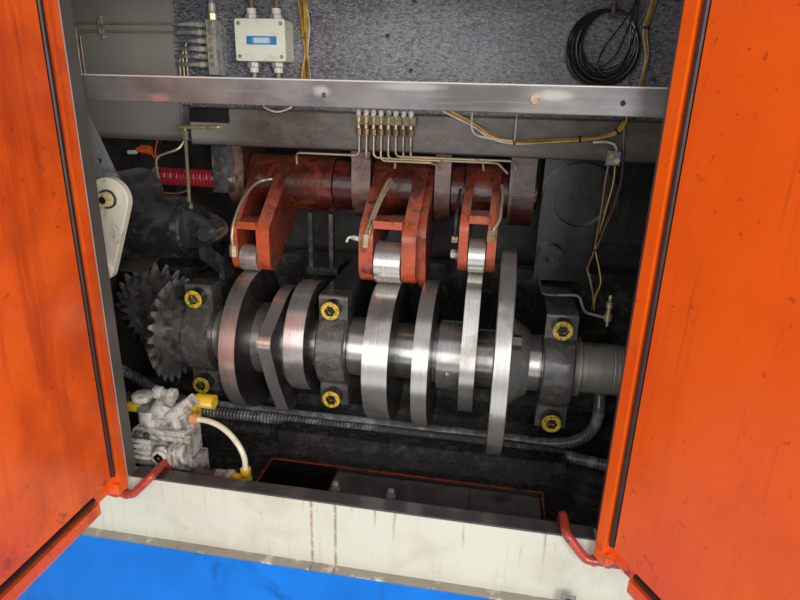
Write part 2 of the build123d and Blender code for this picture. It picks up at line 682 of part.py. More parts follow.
def spring_rod():
    rod = rod_x(ROD_R, SPRING_LEFT - 6, ROD_RIGHT, SPRING_Y, SPRING_Z)
    rod += rod_x(SPRING_R + 3, SPRING_LEFT - 6, SPRING_LEFT, SPRING_Y, SPRING_Z)
    fork = block(SPRING_LEFT - 38, SPRING_LEFT - 6, SPRING_Y - 12, SPRING_Y + 12,
                 SPRING_Z - 11, SPRING_Z + 11)
    fork -= block(SPRING_LEFT - 39, SPRING_LEFT - 16, SPRING_Y - 5, SPRING_Y + 5,
                  SPRING_Z - 12, SPRING_Z + 12)
    fork -= rod_y(4, SPRING_LEFT - 28, SPRING_Y - 13, SPRING_Y + 13, SPRING_Z)
    return rod + fork


def spring_guide():
    back = ROCK_Y - PEDESTAL_R
    guide = block(GUIDE[0], GUIDE[1], SPRING_Y - 14, back, SPRING_Z - 25, BEAM_BOTTOM)
    return guide - rod_x(ROD_R + RUN_GAP, GUIDE[0] - 1, GUIDE[1] + 1, SPRING_Y, SPRING_Z)


def link_plate():
    x1, z1 = LINK_END
    shape = hull((LINK_X, LINK_Z, 36), (x1, z1, 20))
    plate = slab_y(shape, LINK_Y, LINK_Y + LINK_T)
    plate = chamfer(plate.edges().group_by(Axis.Y)[0], 1.2)
    plate += rod_y(18, x1, LINK_Y - 8, LINK_Y, z1)
    plate -= rod_y(LINK_BORE_R + RUN_GAP, LINK_X, LINK_Y - 1, LINK_Y + LINK_T + 1, LINK_Z)
    slot = Pos(LINK_X - 3, LINK_Z - 24) * SlotCenterToCenter(16, 9)
    return plate - slab_y(slot, LINK_Y + 4, LINK_Y + LINK_T)


def link_bolt():
    front = LINK_Y - 4
    washer = rod_y(16, LINK_X, front, LINK_Y - 0.3, LINK_Z)
    head = rod_y(12, LINK_X, front - 12, front, LINK_Z)
    head -= slab_y(Pos(LINK_X, LINK_Z) * hexagon(10), front - 12, front - 5)
    shank = rod_y(LINK_BORE_R, LINK_X, front, LINK_Y + LINK_T + 3, LINK_Z)
    return washer + head + shank


def drive_drum():
    drum = rod_x(DRUM_R, -572, -466, DRUM_Y, DRUM_Z)
    drum += rod_x(DRUM_R + 8, -588, -572, DRUM_Y, DRUM_Z)
    drum += rod_x(DRUM_R - 10, -466, -456, DRUM_Y, DRUM_Z)
    drum = chamfer(drum.edges().filter_by(GeomType.CIRCLE).sort_by(Axis.X)[-1], 4)
    hub_front = LINK_Y + LINK_T + 11
    drum += rod_y(42, LINK_X, hub_front, DRUM_Y, LINK_Z)
    ex, ez = EYE
    ear = hull((ex, ez, 22), (-462, DRUM_Z + 30, 14), (-462, DRUM_Z - 22, 14))
    for y0 in (DRUM_Y - 24, DRUM_Y + 13):
        drum += slab_y(ear, y0, y0 + 11)
    return drum - rod_y(8, ex, DRUM_Y - 30, DRUM_Y + 30, ez)


def drum_bracket():
    """The drum's anchor: a tongue between its ears on an arm that stands on the left saddle."""
    ex, ez = EYE
    foot = CAM_Z + CAP_BOLT_HALF + CAP_LUG_END
    arm = outline((DRUM_Y - 12, ez - 52), (CAM_Y + 4, foot + 14), (CAM_Y + 4, foot),
                  (CAM_Y + 52, foot), (CAM_Y + 52, foot + 20), (DRUM_Y + 12, ez - 37),
                  (DRUM_Y + 12, ez + 6), (DRUM_Y - 12, ez + 6))
    bracket = slab_x(arm, -437, -425)
    bracket += slab_y(hull((ex, ez, 22), (ex - 14, ez, 15)), DRUM_Y - 12, DRUM_Y + 12)
    bracket -= rod_y(8, ex, DRUM_Y - 30, DRUM_Y + 30, ez)
    pin = rod_y(8, ex, DRUM_Y - 27, DRUM_Y + 27, ez) + rod_y(13, ex, DRUM_Y - 33, DRUM_Y - 24.3, ez)
    return Compound(children=[bracket, pin])


def stay_bar():
    """A flat bar from the link's pin up and left to a rod on the housing's side."""
    end_x, end_z = STAY_END
    front = LINK_Y + LINK_T + 3
    bar = slab_y(hull((LINK_X, LINK_Z, 20), (end_x, end_z, 13)), front, front + 8)
    bar += rod_x(STAY_R, HOUSING_LEFT + SHEET, end_x, front + 4, end_z)
    bar -= rod_y(LINK_BORE_R - 1, LINK_X, front - 1, front + 9, LINK_Z)
    return bar - rod_y(5, LINK_X - 20, front - 1, front + 9, LINK_Z + 61)


# Trough, hoses and air unit
def oil_trough():
    x0, x1, y0, y1 = TROUGH
    low = BASE_TOP + DECK
    tray = block(x0, x1, y0, y1, low, TROUGH_RIM)
    tray -= block(x0 + TROUGH_WALL, x1 - TROUGH_WALL, y0 + TROUGH_WALL, y1 - TROUGH_WALL,
                  low + TROUGH_WALL, TROUGH_RIM + 1)
    for ya, yb in ((y0, y0 + 14), (y1 - 14, y1)):
        tray += block(PLATE_LEFT, x1, ya, yb, PLATE_Z - TROUGH_WALL, PLATE_Z)
    tray += block(PLATE_LEFT - TROUGH_WALL, PLATE_LEFT, y0, y1, low, PLATE_Z)
    return tray


def trough_plates():
    x0, x1, y0, y1 = TROUGH
    inner = x1 - TROUGH_WALL - 1
    third = (inner - PLATE_LEFT) / 3
    group = []
    for i in range(3):
        left = PLATE_LEFT + i * third
        plate = block(left + 0.5, left + third - 0.5, y0 + TROUGH_WALL + 1, y1 - TROUGH_WALL - 1,
                      PLATE_Z, PLATE_Z + PLATE_T)
        group.append(plate)
    return Compound(children=group)


def arc_radii(points, share=0.45):
    """Each corner's radius: a share of its shorter run over the tangent of half the turn."""
    radii = []
    for a, b, c in zip(points, points[1:], points[2:]):
        first = Vector(*b) - Vector(*a)
        second = Vector(*c) - Vector(*b)
        turn = math.radians(first.get_angle(second))
        radii.append(share * min(first.length, second.length) / math.tan(turn / 2))
    return radii


DECK_TOP = BASE_TOP + DECK
HOSE_A = [(-796, 403, 89), (-766, 403, 89), (-722, 404, 65), (-672, 406, 35), (-600, 410, 14),
          (-500, 407, 12.5), (-380, 410, 12.5), (-270, 406.5, 12.5), (-150, 409.5, 12.5),
          (-20, 406.8, 12.5), (90, 410, 12.5), (180, 408, 12.5), (250, 406, 13), (300, 404, 22),
          (334, 404, 43), (350, 406, 78), (352, 410, 115), (349, 426, 149), (345, 458, 165),
          (344, 506, 167)]
HOSE_B = [(-796, 374, 39), (-766, 374, 39), (-705, 376, 19), (-600, 380, 12.5), (-480, 377, 12.5),
          (-360, 379.5, 12.5), (-240, 377, 12.5), (-110, 379, 12.5), (10, 376, 12.5),
          (110, 378, 12.5), (210, 373, 12.5), (300, 364, 13), (362, 344, 16), (412, 330, 24),
          (458, 324, 33), (496, 324, 33)]


def on_deck(points):
    return [(x, y, DECK_TOP + z) for x, y, z in points]


def hoses():
    group = []
    for name, points in (("upper", on_deck(HOSE_A)), ("lower", on_deck(HOSE_B))):
        radii = arc_radii(points)
        print("hose", name, "radii", [round(r) for r in radii])
        group.append(pipe(points, radii, HOSE_R))
    x, y, z = on_deck(HOSE_A)[-1]
    group[0] += rod_y(16, x, y, BED_FRONT, z)
    return Compound(children=group)


AIR_UP = 89.0                # air unit's stand above the deck


def air_valve():
    base = DECK_TOP + AIR_UP
    body = block(-500, -400, 62, 116, base + 6, base + 72)
    body = fillet(body.edges().filter_by(Axis.Y), 8)
    for i in range(4):
        body += block(-502, -398, 58, 62, base + 16 + 13 * i, base + 23 + 13 * i)
    body += rod_z(23, -476, 88, base + 72, base + 100)
    body += rod_y(15, -470, 46, 62, base + 38)
    handle = Box(78, 22, 20)
    body += Pos(-424, 88, base + 100) * Rot(0, -38, 0) * fillet(handle.edges().filter_by(Axis.X), 5)
    body += rod_z(12, -412, 88, base + 70, base + 90)
    stand = block(-508, -392, 56, 120, base, base + 6)
    for x0 in (-508.0, -398.0):
        stand += block(x0, x0 + 6, 76, 120, DECK_TOP, base)
    return Compound(children=[body, stand])


LINE_Y = 66.0
LINE_Z = AIR_UP - 10.0       # delivery line above the deck
CREAM_HOSE = [(-386, 88, 175), (-366, 87, 175), (-343, 83, 170), (-320, 76, 159),
              (-302, 69, 142), (-293, LINE_Y, 123), (-293, LINE_Y, 101)]


def air_pipes():
    base = DECK_TOP + AIR_UP
    z = DECK_TOP + LINE_Z
    supply = rod_x(7, -600, -499.3, 88, base + 96) + rod_x(9, -520, -499.3, 88, base + 96)
    line = rod_x(8, -484, -330, LINE_Y, z) + rod_x(11, -356, -326, LINE_Y, z)
    line += rod_x(9.5, -484, -470, LINE_Y, z)
    elbow = rod_x(9, -325.9, -293, LINE_Y, z)
    elbow += Pos(-293, LINE_Y, z) * Sphere(11)
    elbow += rod_z(9, -293, LINE_Y, z, z + 21.9)
    copper = rod_x(9, -399, -386.1, 88, base + 86)
    nut = slab_x(Pos(88, base + 86) * hexagon(20), -399, -392)
    points = on_deck(CREAM_HOSE)
    hose = pipe(points, arc_radii(points), 5)
    cap = rod_x(13, -398, -366, 112, base + 110) + rod_x(10, -410, -398, 112, base + 110)
    mount = block(-412, -398, 104, 120, base + 72, base + 106)
    return Compound(children=[supply, line, elbow, copper + nut, hose, cap + mount])


# Doors and their arms
def turn_about(shape, x, y, degrees):
    return Pos(x, y, 0) * Rot(0, 0, degrees) * Pos(-x, -y, 0) * shape


def hinge_x():
    return OPEN_LEFT - EDGE_OUT + PIN_IN


def left_leaf():
    """The left leaf, drawn closed."""
    x0 = OPEN_LEFT - EDGE_OUT
    x1 = DOOR_MID_X - MEET_GAP
    lip = -DOOR_GAP
    back = lip - DOOR_T
    leaf = block(x0, x1, back, lip, DOOR_BOTTOM, DOOR_TOP)
    leaf = fillet(leaf.edges().filter_by(Axis.Z), EDGE_ROUND)
    panel = lip - PANEL_DEEP
    leaf -= block(x0 + RIM_W, x1 - RIM_W, panel, lip, DOOR_BOTTOM + RIM_W, DOOR_TOP - RIM_W)
    ring = block(x0 + RIM_W, x1 - RIM_W, panel - GROOVE_DEEP, panel, DOOR_BOTTOM + RIM_W,
                 DOOR_TOP - RIM_W)
    inset = RIM_W + GROOVE_W
    ring -= block(x0 + inset, x1 - inset, panel - GROOVE_DEEP, panel, DOOR_BOTTOM + inset,
                  DOOR_TOP - inset)
    leaf -= ring
    near, far, high = NOTCH
    for z0, z1 in ((DOOR_BOTTOM, DOOR_BOTTOM + high), (DOOR_TOP - high, DOOR_TOP)):
        leaf -= block(x0 + near, x0 + far, back + NOTCH_SKIN, lip, z0, z1)
    for z0, z1 in ((DOOR_BOTTOM, DOOR_BOTTOM + PIN_DEEP), (DOOR_TOP - PIN_DEEP, DOOR_TOP)):
        leaf -= rod_z(HINGE_PIN_R + RUN_GAP, hinge_x(), PIN_Y, z0, z1)
    return leaf


def mirrored(shape):
    return Pos(2 * DOOR_MID_X, 0, 0) * mirror(shape, Plane.YZ)


def door_left():
    return turn_about(left_leaf(), hinge_x(), PIN_Y, -LEFT_OPEN)


def door_right():
    return turn_about(mirrored(left_leaf()), 2 * DOOR_MID_X - hinge_x(), PIN_Y, RIGHT_OPEN)


def hinge_arm():
    """A bent arm from the hinge pin up over the sill and down behind it to its foot."""
    x = hinge_x()
    low = DOOR_BOTTOM - ARM_DROP
    high = low + ARM_RISE
    knee = PIN_Y + 9
    end = x + 56.5
    points = [(x - 24.5, PIN_Y, low), (x + 24.5, PIN_Y, low), (end, knee, high),
              (end, ARM_BACK, high), (end, ARM_BACK, OPEN_BOTTOM - 61)]
    arm = pipe(points, [14, 12, 14], ARM_R)
    arm += rod_x(ARM_R + 1.5, x - 10, x - 3, PIN_Y, low)
    arm += rod_x(ARM_R + 1.5, x + 10, x + 16, PIN_Y, low)
    arm += rod_z(HINGE_PIN_R, x, PIN_Y, low, DOOR_BOTTOM + PIN_DEEP - 2)
    return arm + block(end - 12, end + 12, SHEET, ARM_BACK, OPEN_BOTTOM - 61, OPEN_BOTTOM - 31)


def hinge_arms():
    low = hinge_arm()
    high = Pos(0, 0, 2 * DOOR_MID_Z) * mirror(low, Plane.XY)
    return Compound(children=[low, high, mirrored(low), mirrored(high)])


# Lubrication and wiring on the wall
MANIFOLD_X = (-161.0, 14.0, 8)    # first outlet, pitch, count
MANIFOLD_Y = 349.0
MANIFOLD_Z = BEAM_TOP - 12.0
BAR_X = (-484.0, -464.0)
BAR_MID = on_wall(0.3415)
BAR_HALF = 50.0
BAR_Y = 418.0
BAR_OUTLETS = (43.0, 28.0, 13.0, -2.0, -16.0, -31.0)   # from the bar's middle


def oil_manifolds():
    first, pitch, count = MANIFOLD_X
    row = block(first - 9, first + pitch * (count - 1) + 9, MANIFOLD_Y, BEAM_Y,
                MANIFOLD_Z - 8, MANIFOLD_Z + 8)
    for i in range(count):
        row += rod_z(4.5, first + pitch * i, MANIFOLD_Y + 7, MANIFOLD_Z - 22, MANIFOLD_Z + 14)
    top = BAR_MID + BAR_HALF
    bar = block(BAR_X[0], BAR_X[1], BAR_Y, WALL_Y, BAR_MID - BAR_HALF, top)
    for z in BAR_OUTLETS:
        bar += rod_x(4.5, BAR_X[0] - 20, BAR_X[0], BAR_Y + 11, BAR_MID + z)
    bar += rod_z(5, (BAR_X[0] + BAR_X[1]) / 2, BAR_Y + 11, top, top + 26)
    return Compound(children=[row, bar])


TUBE_R = 2.2
TUBE_Y = MANIFOLD_Y + 7
TUBE_ENDS = (     # for each outlet, the points after its drop: X, Y, and Z from the beam's underside
    ((-161, 0, -7), (-282, 0, -7), (-290, 14, -14), (-290, 16, -30)),
    ((-147, 0, -10), (-150, 29, -16)),
    ((-133, 0, -9), (-103, 2, -11), (-94, 18, -18), (-95, 20, -30)),
    ((-119, 0, -15), (-25, 0, -15), (-14, 14, -20), (-13, 18, -30)),
    ((-105, 0, -10.5), (-4, 0, -10.5), (2, 29, -13)),
    ((-91, 0, -6), (60, 0, -6), (72, 14, -12), (74, 18, -26)),
    ((-77, 5, 2), (-77, 5, -10.5), (84, 5, -10.5), (100, 12, -12), (119, 17, -30)),
    ((-63, 5, 2), (-63, 5, -6), (122, 5, -6), (131, 16, -12), (133, 20, -24)),
)


def oil_tubes():
    """Rigid lines from the eight outlets down and along under the beam, and from the bar."""
    first, pitch, count = MANIFOLD_X
    group = []
    for i, ends in enumerate(TUBE_ENDS):
        x = first + pitch * i
        points = [(x, TUBE_Y, MANIFOLD_Z - 22)]
        if ends[0][1] > 0:
            points.append((x, TUBE_Y, BEAM_BOTTOM + 12))
        points += [(u, TUBE_Y + v, BEAM_BOTTOM + w) for u, v, w in ends]
        group.append(pipe(points, [min(9.0, r) for r in arc_radii(points)], TUBE_R))
    bar_y = BAR_Y + 11
    for i, up in enumerate(BAR_OUTLETS[:5]):
        x = BAR_X[0] - 20
        z = BAR_MID + up
        if i < 2:
            points = [(x, bar_y, z), (-776 + 8 * i, bar_y, z), (-776 + 8 * i, bar_y, BEAM_TOP + 18)]
        else:
            points = [(x, bar_y, z), (-520 - 8 * i, bar_y, z), (-520 - 8 * i, bar_y, BEAM_TOP + 4)]
        group.append(pipe(points, [12], TUBE_R))
    return Compound(children=group)


BOX_X = (-414.0, -314.0)
BOX_MID = on_wall(0.381)
BOX_Z = (BOX_MID - 37.0, BOX_MID + 37.0)
BOX_DEEP = 45.0
LID_T = 6.0
GLANDS = (-388.0, -338.0)


def junction_box():
    front = WALL_Y - BOX_DEEP
    y = WALL_Y - BOX_DEEP / 2
    body = block(BOX_X[0], BOX_X[1], front + LID_T, WALL_Y, BOX_Z[0], BOX_Z[1])
    body = fillet(body.edges().filter_by(Axis.Y), 4)
    for x in GLANDS:
        body += rod_z(9, x, y, BOX_Z[1], BOX_Z[1] + 20)
        body += rod_z(9, x, y, BOX_Z[0] - 20, BOX_Z[0])
    lid = block(BOX_X[0], BOX_X[1], front, front + LID_T, BOX_Z[0], BOX_Z[1])
    lid = fillet(lid.edges().filter_by(Axis.Y), 4)
    return Compound(children=[body, lid])


CABLE_TOP = HOUSING_TOP - SHEET


def cable_bundle():
    """Bundles clipped to the wall: one straight down beside the box, one round the right."""
    group = [rod_z(7, -284, WALL_Y - 8, BEAM_TOP + 3, CABLE_TOP)]
    right = [(352, 430, CABLE_TOP), (352, 430, on_wall(0.634)), (340, 431, on_wall(0.482)),
             (352, 431, on_wall(0.329)), (338, 430, on_wall(0.146)), (318, 420, on_wall(0.043)),
             (300, 392, on_wall(0.03))]
    group.append(pipe(right, arc_radii(right), 6))
    y = BEAM_Y - 5.2
    heights = (18, -12, -32, -41, -36, -18)
    under = [(x, y, BEAM_TOP + z) for x, z in zip((296, 250, 190, 110, 20, -20), heights)]
    group.append(pipe(under, arc_radii(under), 5))
    for x in GLANDS:
        group.append(rod_z(4, x, WALL_Y - BOX_DEEP / 2, BOX_Z[1] + 20, CABLE_TOP))
    y = BEAM_Y - 4.2
    places = [(305.4, y, 18), (306, y, -66), (294, 366, -122), (286, 374, -182),
              (296, 368, -242), (304, 352, -302), (302, 346, -342)]
    drop = [(x, v, BEAM_TOP + z) for x, v, z in places]
    group.append(pipe(drop, arc_radii(drop), 4))
    return Compound(children=group)


COIL_R = 50.0
COIL_T = 9.0


def cable_coil():
    x, z = HOOK
    centre_z = z + HOOK_R + 0.3 - (COIL_R - COIL_T)
    return Pos(x, WALL_Y - COIL_T - 1, centre_z) * Rot(90, 0, 0) * Torus(COIL_R, COIL_T)


def cover_screws():
    group = []
    rail_front = POST_Y + POST_W
    group.append(rod_y(6, 143, rail_front - 5, rail_front, RAIL_Z))
    for x in (-145.0 + 14, -34.0):
        y = TROUGH[2] + 40
        group.append(slab_z_hex(x, y, PLATE_Z + PLATE_T, 7, 16))
    front = WALL_Y - BOX_DEEP
    for x in (BOX_X[0] + 8, BOX_X[1] - 8):
        for z in (BOX_Z[0] + 8, BOX_Z[1] - 8):
            group.append(rod_y(3.5, x, front - 2, front, z))
    return Compound(children=group)


def slab_z_hex(x, y, z, height, across):
    return extrude(Pos(x, y, z) * hexagon(across), height)


NODES = {
    "base_plinth": base_plinth,
    "bay_floor": bay_floor,
    "apron": apron,
    "sill_strip": sill_strip,
    "enclosure": enclosure,
    "guard_rail": guard_rail,
    "cover_screws": cover_screws,
    "wall_casting": wall_casting,
    "side_casting": side_casting,
    "bed_casting": bed_casting,
    "cap_screws": cap_screws,
    "bearing_bushes": bearing_bushes,
    "camshaft": camshaft,
    "camshaft_bevel_gear": camshaft_bevel_gear,
    "cam_1": cam_1,
    "cam_2": cam_2,
    "cam_3": cam_3,
    "cam_4": cam_4,
    "cam_5": cam_5,
    "cam_6": cam_6,
    "cam_7": cam_7,
    "cam_bolt": cam_bolt,
    "cross_bevel_gear": cross_bevel_gear,
    "cross_bearing": cross_bearing,
    "gear_guard": gear_guard,
    "rocker_shaft": rocker_shaft,
    "rocker_pedestals": rocker_pedestals,
    "link_plate": link_plate,
    "link_bolt": link_bolt,
    "drive_drum": drive_drum,
    "drum_bracket": drum_bracket,
    "stay_bar": stay_bar,
    "return_spring": return_spring,
    "spring_rod": spring_rod,
    "spring_guide": spring_guide,
    "oil_trough": oil_trough,
    "trough_plates": trough_plates,
    "hoses": hoses,
    "air_valve": air_valve,
    "air_pipes": air_pipes,
    "hinge_arms": hinge_arms,
    "door_left": door_left,
    "door_right": door_right,
    "oil_manifolds": oil_manifolds,
    "oil_tubes": oil_tubes,
    "junction_box": junction_box,
    "cable_bundle": cable_bundle,
    "cable_coil": cable_coil,
}

os.makedirs("parts", exist_ok=True)


def save(shape, node):
    export_step(shape, f"parts/{node}.step")


for node, make in NODES.items():
    save(make(), node)
for name, x in zip(CAP_NAMES, CAP_X):
    save(bearing_cap(x), f"bearing_cap_{name}")
for number, lever in enumerate((LEVER_1, LEVER_2, LEVER_3), start=1):
    save(lever_body(lever), f"rocker_lever_{number}")
    save(roller(lever), f"roller_{number}")
    save(roller_pin(lever), f"roller_pin_{number}")
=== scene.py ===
import math

import bmesh
import bpy
import numpy as np
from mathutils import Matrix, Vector

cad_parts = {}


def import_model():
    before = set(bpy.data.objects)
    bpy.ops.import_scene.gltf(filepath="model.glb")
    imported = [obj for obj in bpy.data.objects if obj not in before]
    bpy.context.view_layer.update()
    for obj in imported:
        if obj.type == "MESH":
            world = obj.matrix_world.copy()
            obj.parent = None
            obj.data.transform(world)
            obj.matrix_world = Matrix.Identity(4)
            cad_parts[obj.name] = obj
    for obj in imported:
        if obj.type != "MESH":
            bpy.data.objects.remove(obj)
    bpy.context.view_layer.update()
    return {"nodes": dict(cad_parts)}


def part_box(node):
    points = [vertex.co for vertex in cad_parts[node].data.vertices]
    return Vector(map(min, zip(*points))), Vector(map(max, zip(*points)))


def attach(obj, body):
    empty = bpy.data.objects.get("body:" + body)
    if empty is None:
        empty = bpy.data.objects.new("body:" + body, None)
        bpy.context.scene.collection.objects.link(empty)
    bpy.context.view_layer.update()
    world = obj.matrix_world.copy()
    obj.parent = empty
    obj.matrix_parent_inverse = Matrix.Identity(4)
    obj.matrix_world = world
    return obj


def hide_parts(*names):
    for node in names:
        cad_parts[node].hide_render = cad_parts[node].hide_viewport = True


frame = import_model()


# Places on the machine that its finishes follow, in metres
def edges(node):
    """The lowest and the highest corner of a node's box, to a tenth of a millimetre."""
    return [np.round(corner, 4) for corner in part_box(node)]


def middle(node):
    """The middle of a node's box: half of its lowest corner plus its highest."""
    return sum(edges(node)) / 2


_, SHAFT_Y, SHAFT_Z = middle("camshaft")
CAP_X = [middle(f"bearing_cap_{side}")[0] for side in ("left", "middle", "right")]
WALL_FOOT = edges("wall_casting")[0][2]
WALL_FACE = edges("junction_box")[1][1]     # the box hangs on the wall's face


# Material graphs
class Graph:
    """A Principled finish, with short calls for the maps that feed it."""

    def __init__(self, name="finish"):
        """The shader on the output, and the point in Object coordinates."""
        self.mat = bpy.data.materials.new(name)
        self.mat.use_nodes = True
        self.tree = self.mat.node_tree
        self.tree.nodes.clear()
        self.bsdf = self.node("BsdfPrincipled", {})
        self.node("OutputMaterial", {0: self.bsdf.outputs[0]})
        self.place = self.node("TexCoord", {}).outputs["Object"]
        self.x, self.y, self.z = self.node("SeparateXYZ", {0: self.place}).outputs

    def node(self, kind, values, **settings):
        """A node with its settings; the values go to its inputs by name or number."""
        n = self.tree.nodes.new("ShaderNode" + kind)
        for key, value in settings.items():
            setattr(n, key, value)
        for key, value in values.items():
            self.put(n.inputs[key], value)
        return n

    def put(self, socket, value):
        """Links an output to the input, or sets the input's number or colour."""
        if isinstance(value, bpy.types.NodeSocket):
            self.tree.links.new(value, socket)
        elif socket.type == "RGBA":
            socket.default_value = (*value, 1)
        else:
            socket.default_value = value

    def math(self, kind, first, *others):
        """The values joined one after another by one kind of arithmetic."""
        for value in others or (0,):
            first = self.node("Math", {0: first, 1: value}, operation=kind).outputs[0]
        return first

    def times(self, *factors):
        """The product of all the factors."""
        return self.math("MULTIPLY", *factors) if len(factors) > 1 else factors[0]

    def off(self, value, centre):
        """How far a value is from a centre, either way."""
        return self.math("ABSOLUTE", self.math("SUBTRACT", value, centre))

    def reach(self, a, b):
        """The root of a squared plus b squared."""
        return self.math("SQRT", self.math("ADD", self.times(a, a), self.times(b, b)))

    def facing(self, which):
        """One part of the face's own direction, from -1 to 1."""
        way = self.node("NewGeometry", {}).outputs["Normal"]
        return self.node("SeparateXYZ", {0: way}).outputs[which]

    def sides(self, low=0.6, high=0.9):
        """1 on the faces that look along the camshaft, either way."""
        return self.band(self.math("ABSOLUTE", self.facing("X")), low, high)

    def noise(self, scale, detail=4, rough=0.55, stretch=(1, 1, 1), shift=(0, 0, 0), warp=0):
        """Clouds round 0.5, over the point times the stretch plus the shift."""
        where = self.node("Mapping", {"Vector": self.place, "Location": shift, "Scale": stretch})
        values = {"Vector": where.outputs[0], "Scale": scale, "Detail": detail, "Roughness": rough,
                  "Distortion": warp}
        return self.node("TexNoise", values).outputs["Fac"]

    def band(self, value, low, high):
        """0 below low, 1 above high, smooth between; low above high turns it round."""
        start, end = (0, 1) if low < high else (1, 0)
        values = {0: value, 1: min(low, high), 2: max(low, high), 3: start, 4: end}
        return self.node("MapRange", values, interpolation_type="SMOOTHSTEP").outputs[0]

    def above(self, value, edge, soft=0.0015):
        """1 above the edge and 0 below it, softened both ways."""
        return self.band(value, edge - soft, edge + soft)

    def below(self, value, edge, soft=0.0015):
        """1 below the edge and 0 above it, softened both ways."""
        return self.band(value, edge + soft, edge - soft)

    def ring(self, r, inner, outer, soft):
        """1 between the inner and the outer radius."""
        return self.times(self.above(r, inner, soft), self.below(r, outer, soft))

    def blend(self, fac, a, b):
        """The colour a where the factor is 0, b where it is 1."""
        return self.node("Mix", {0: fac, 6: a, 7: b}, data_type="RGBA").outputs[2]

    def lerp(self, fac, a, b):
        """The number a plus the factor times b less a."""
        return self.node("Mix", {0: fac, 2: a, 3: b}, data_type="FLOAT").outputs[0]

    def tones(self, pattern, low, high, a, b, *amounts):
        """The colour a, and b where the pattern is over high, as much as the product of the amounts."""
        return self.blend(self.times(self.band(pattern, low, high), *amounts), a, b)

    def tint(self, color, over, *amounts):
        """A colour covered by another one as much as the product of the amounts."""
        return self.blend(self.times(*amounts), color, over)

    def bump(self, height, strength=0.3, depth=0.001, under=None):
        """Relief of one height map, laid over the relief under it."""
        values = {"Strength": strength, "Distance": depth, "Height": height}
        if under is not None:
            values["Normal"] = under
        return self.node("Bump", values).outputs[0]

    def shade(self, color, rough=0.5, metal=0, relief=None, coat=0, specular=0.5):
        """The finish: its maps and numbers on the shader's own sockets."""
        values = {"Base Color": color, "Roughness": rough, "Metallic": metal,
                  "Specular IOR Level": specular}
        if coat:
            values.update({"Coat Weight": coat, "Coat Roughness": 0.12})
        if relief is not None:
            values["Normal"] = relief
        for key, value in values.items():
            self.put(self.bsdf.inputs[key], value)
        return self.mat


def dimmed(color, share):
    """A colour with each part times one share."""
    return tuple(share * c for c in color)


def between(a, b, share):
    """The colour that lies the share of the way from a to b, part by part."""
    return tuple((1 - share) * p + share * q for p, q in zip(a, b))


def oily_paint(base, dark, rough=0.28, dirt=0.5, grain=18, shift=0, coat=0.3, bare=None,
               specular=0.5):
    """Paint on a casting or plate: soft tones, oil in patches, chips to bare metal, a fine cast skin."""
    g = Graph()
    tone = g.noise(6, 3, 0.6, shift=(shift, 0, 0))
    patch = g.noise(grain, 6, 0.65, shift=(0, shift, 0), warp=0.6)
    lighter = tuple(min(1, 1.18 * c + 0.004) for c in base)
    color = g.tones(tone, 0.35, 0.65, base, lighter)
    color = g.tones(patch, 0.62 - 0.25 * dirt, 0.72, color, dark)
    if bare is not None:
        chips = g.noise(grain * 4, 3, 0.7, shift=(0, 0, 3.1 + shift))
        color = g.tones(chips, 0.68, 0.72, color, bare)
    wet = g.lerp(g.band(tone, 0.3, 0.7), rough * 0.75, rough * 1.35)
    skin = g.noise(260, 2, 0.6)
    return g.shade(color, wet, 0, g.bump(skin, 0.25, 0.0006, g.bump(patch, 0.2, 0.002)), coat, specular)


def bush_bronze():
    """Turned bronze: fine rings round the shaft's axis, brown and dark oil stains."""
    bronze, oil = (0.5, 0.3, 0.12), (0.12, 0.07, 0.03)
    g = Graph()
    rings = g.noise(1, 3, 0.7, stretch=(420, 3, 3))
    color = g.tones(rings, 0.3, 0.7, between(bronze, oil, 0.4), bronze)
    color = g.tones(g.noise(14, 5, 0.6, warp=0.5), 0.54, 0.74, color, oil)
    rough = g.lerp(g.band(rings, 0.3, 0.7), 0.24, 0.39)
    return g.shade(color, rough, 1, g.bump(rings, 0.15, 0.0004))


def plastic(base, rough=0.4, grain=300):
    """Rubber or plastic skin, a little darker in clouds, with a fine grain."""
    g = Graph()
    tone = g.noise(40, 3, 0.6)
    color = g.tones(tone, 0.4, 0.75, base, dimmed(base, 0.55))
    skin = g.bump(g.noise(grain, 2), 0.12, 0.0003)
    return g.shade(color, g.lerp(tone, rough * 0.8, rough * 1.25), 0, skin)


def inside_mask(g):
    """1 on the faces that look into the bay: the least depth under the front, back, sides and top."""
    lo, hi = edges("enclosure")
    front_skin, skin = 0.0004, 0.0015
    room = g.math("MINIMUM",
                  g.math("SUBTRACT", g.y, lo[1] + front_skin),
                  g.math("SUBTRACT", hi[1] - skin, g.y),
                  g.math("SUBTRACT", g.x, lo[0] + skin),
                  g.math("SUBTRACT", hi[0] - skin, g.x),
                  g.math("SUBTRACT", hi[2] - skin, g.z))
    return g.band(room, 0, 0.0003)


def housing_paint():
    """Cream outside with brown stains; inside dark with oil, a little paler on the door's jambs."""
    g = Graph()
    patch = g.noise(9, 6, 0.65, warp=0.6)
    outer = g.tones(patch, 0.56, 0.72, (0.72, 0.69, 0.55), (0.42, 0.36, 0.25))
    inner = g.tones(g.noise(16, 5, 0.6), 0.4, 0.65, (0.08, 0.075, 0.068), (0.03, 0.028, 0.025))
    inner = g.tones(g.y, 0.05, 0.035, inner, (0.1, 0.09, 0.078), 0.9)
    inside = inside_mask(g)
    rough = g.lerp(inside, 0.42, g.lerp(patch, 0.3, 0.6))
    return g.shade(g.blend(inside, outer, inner), rough, 0, g.bump(patch, 0.15), 0.1)


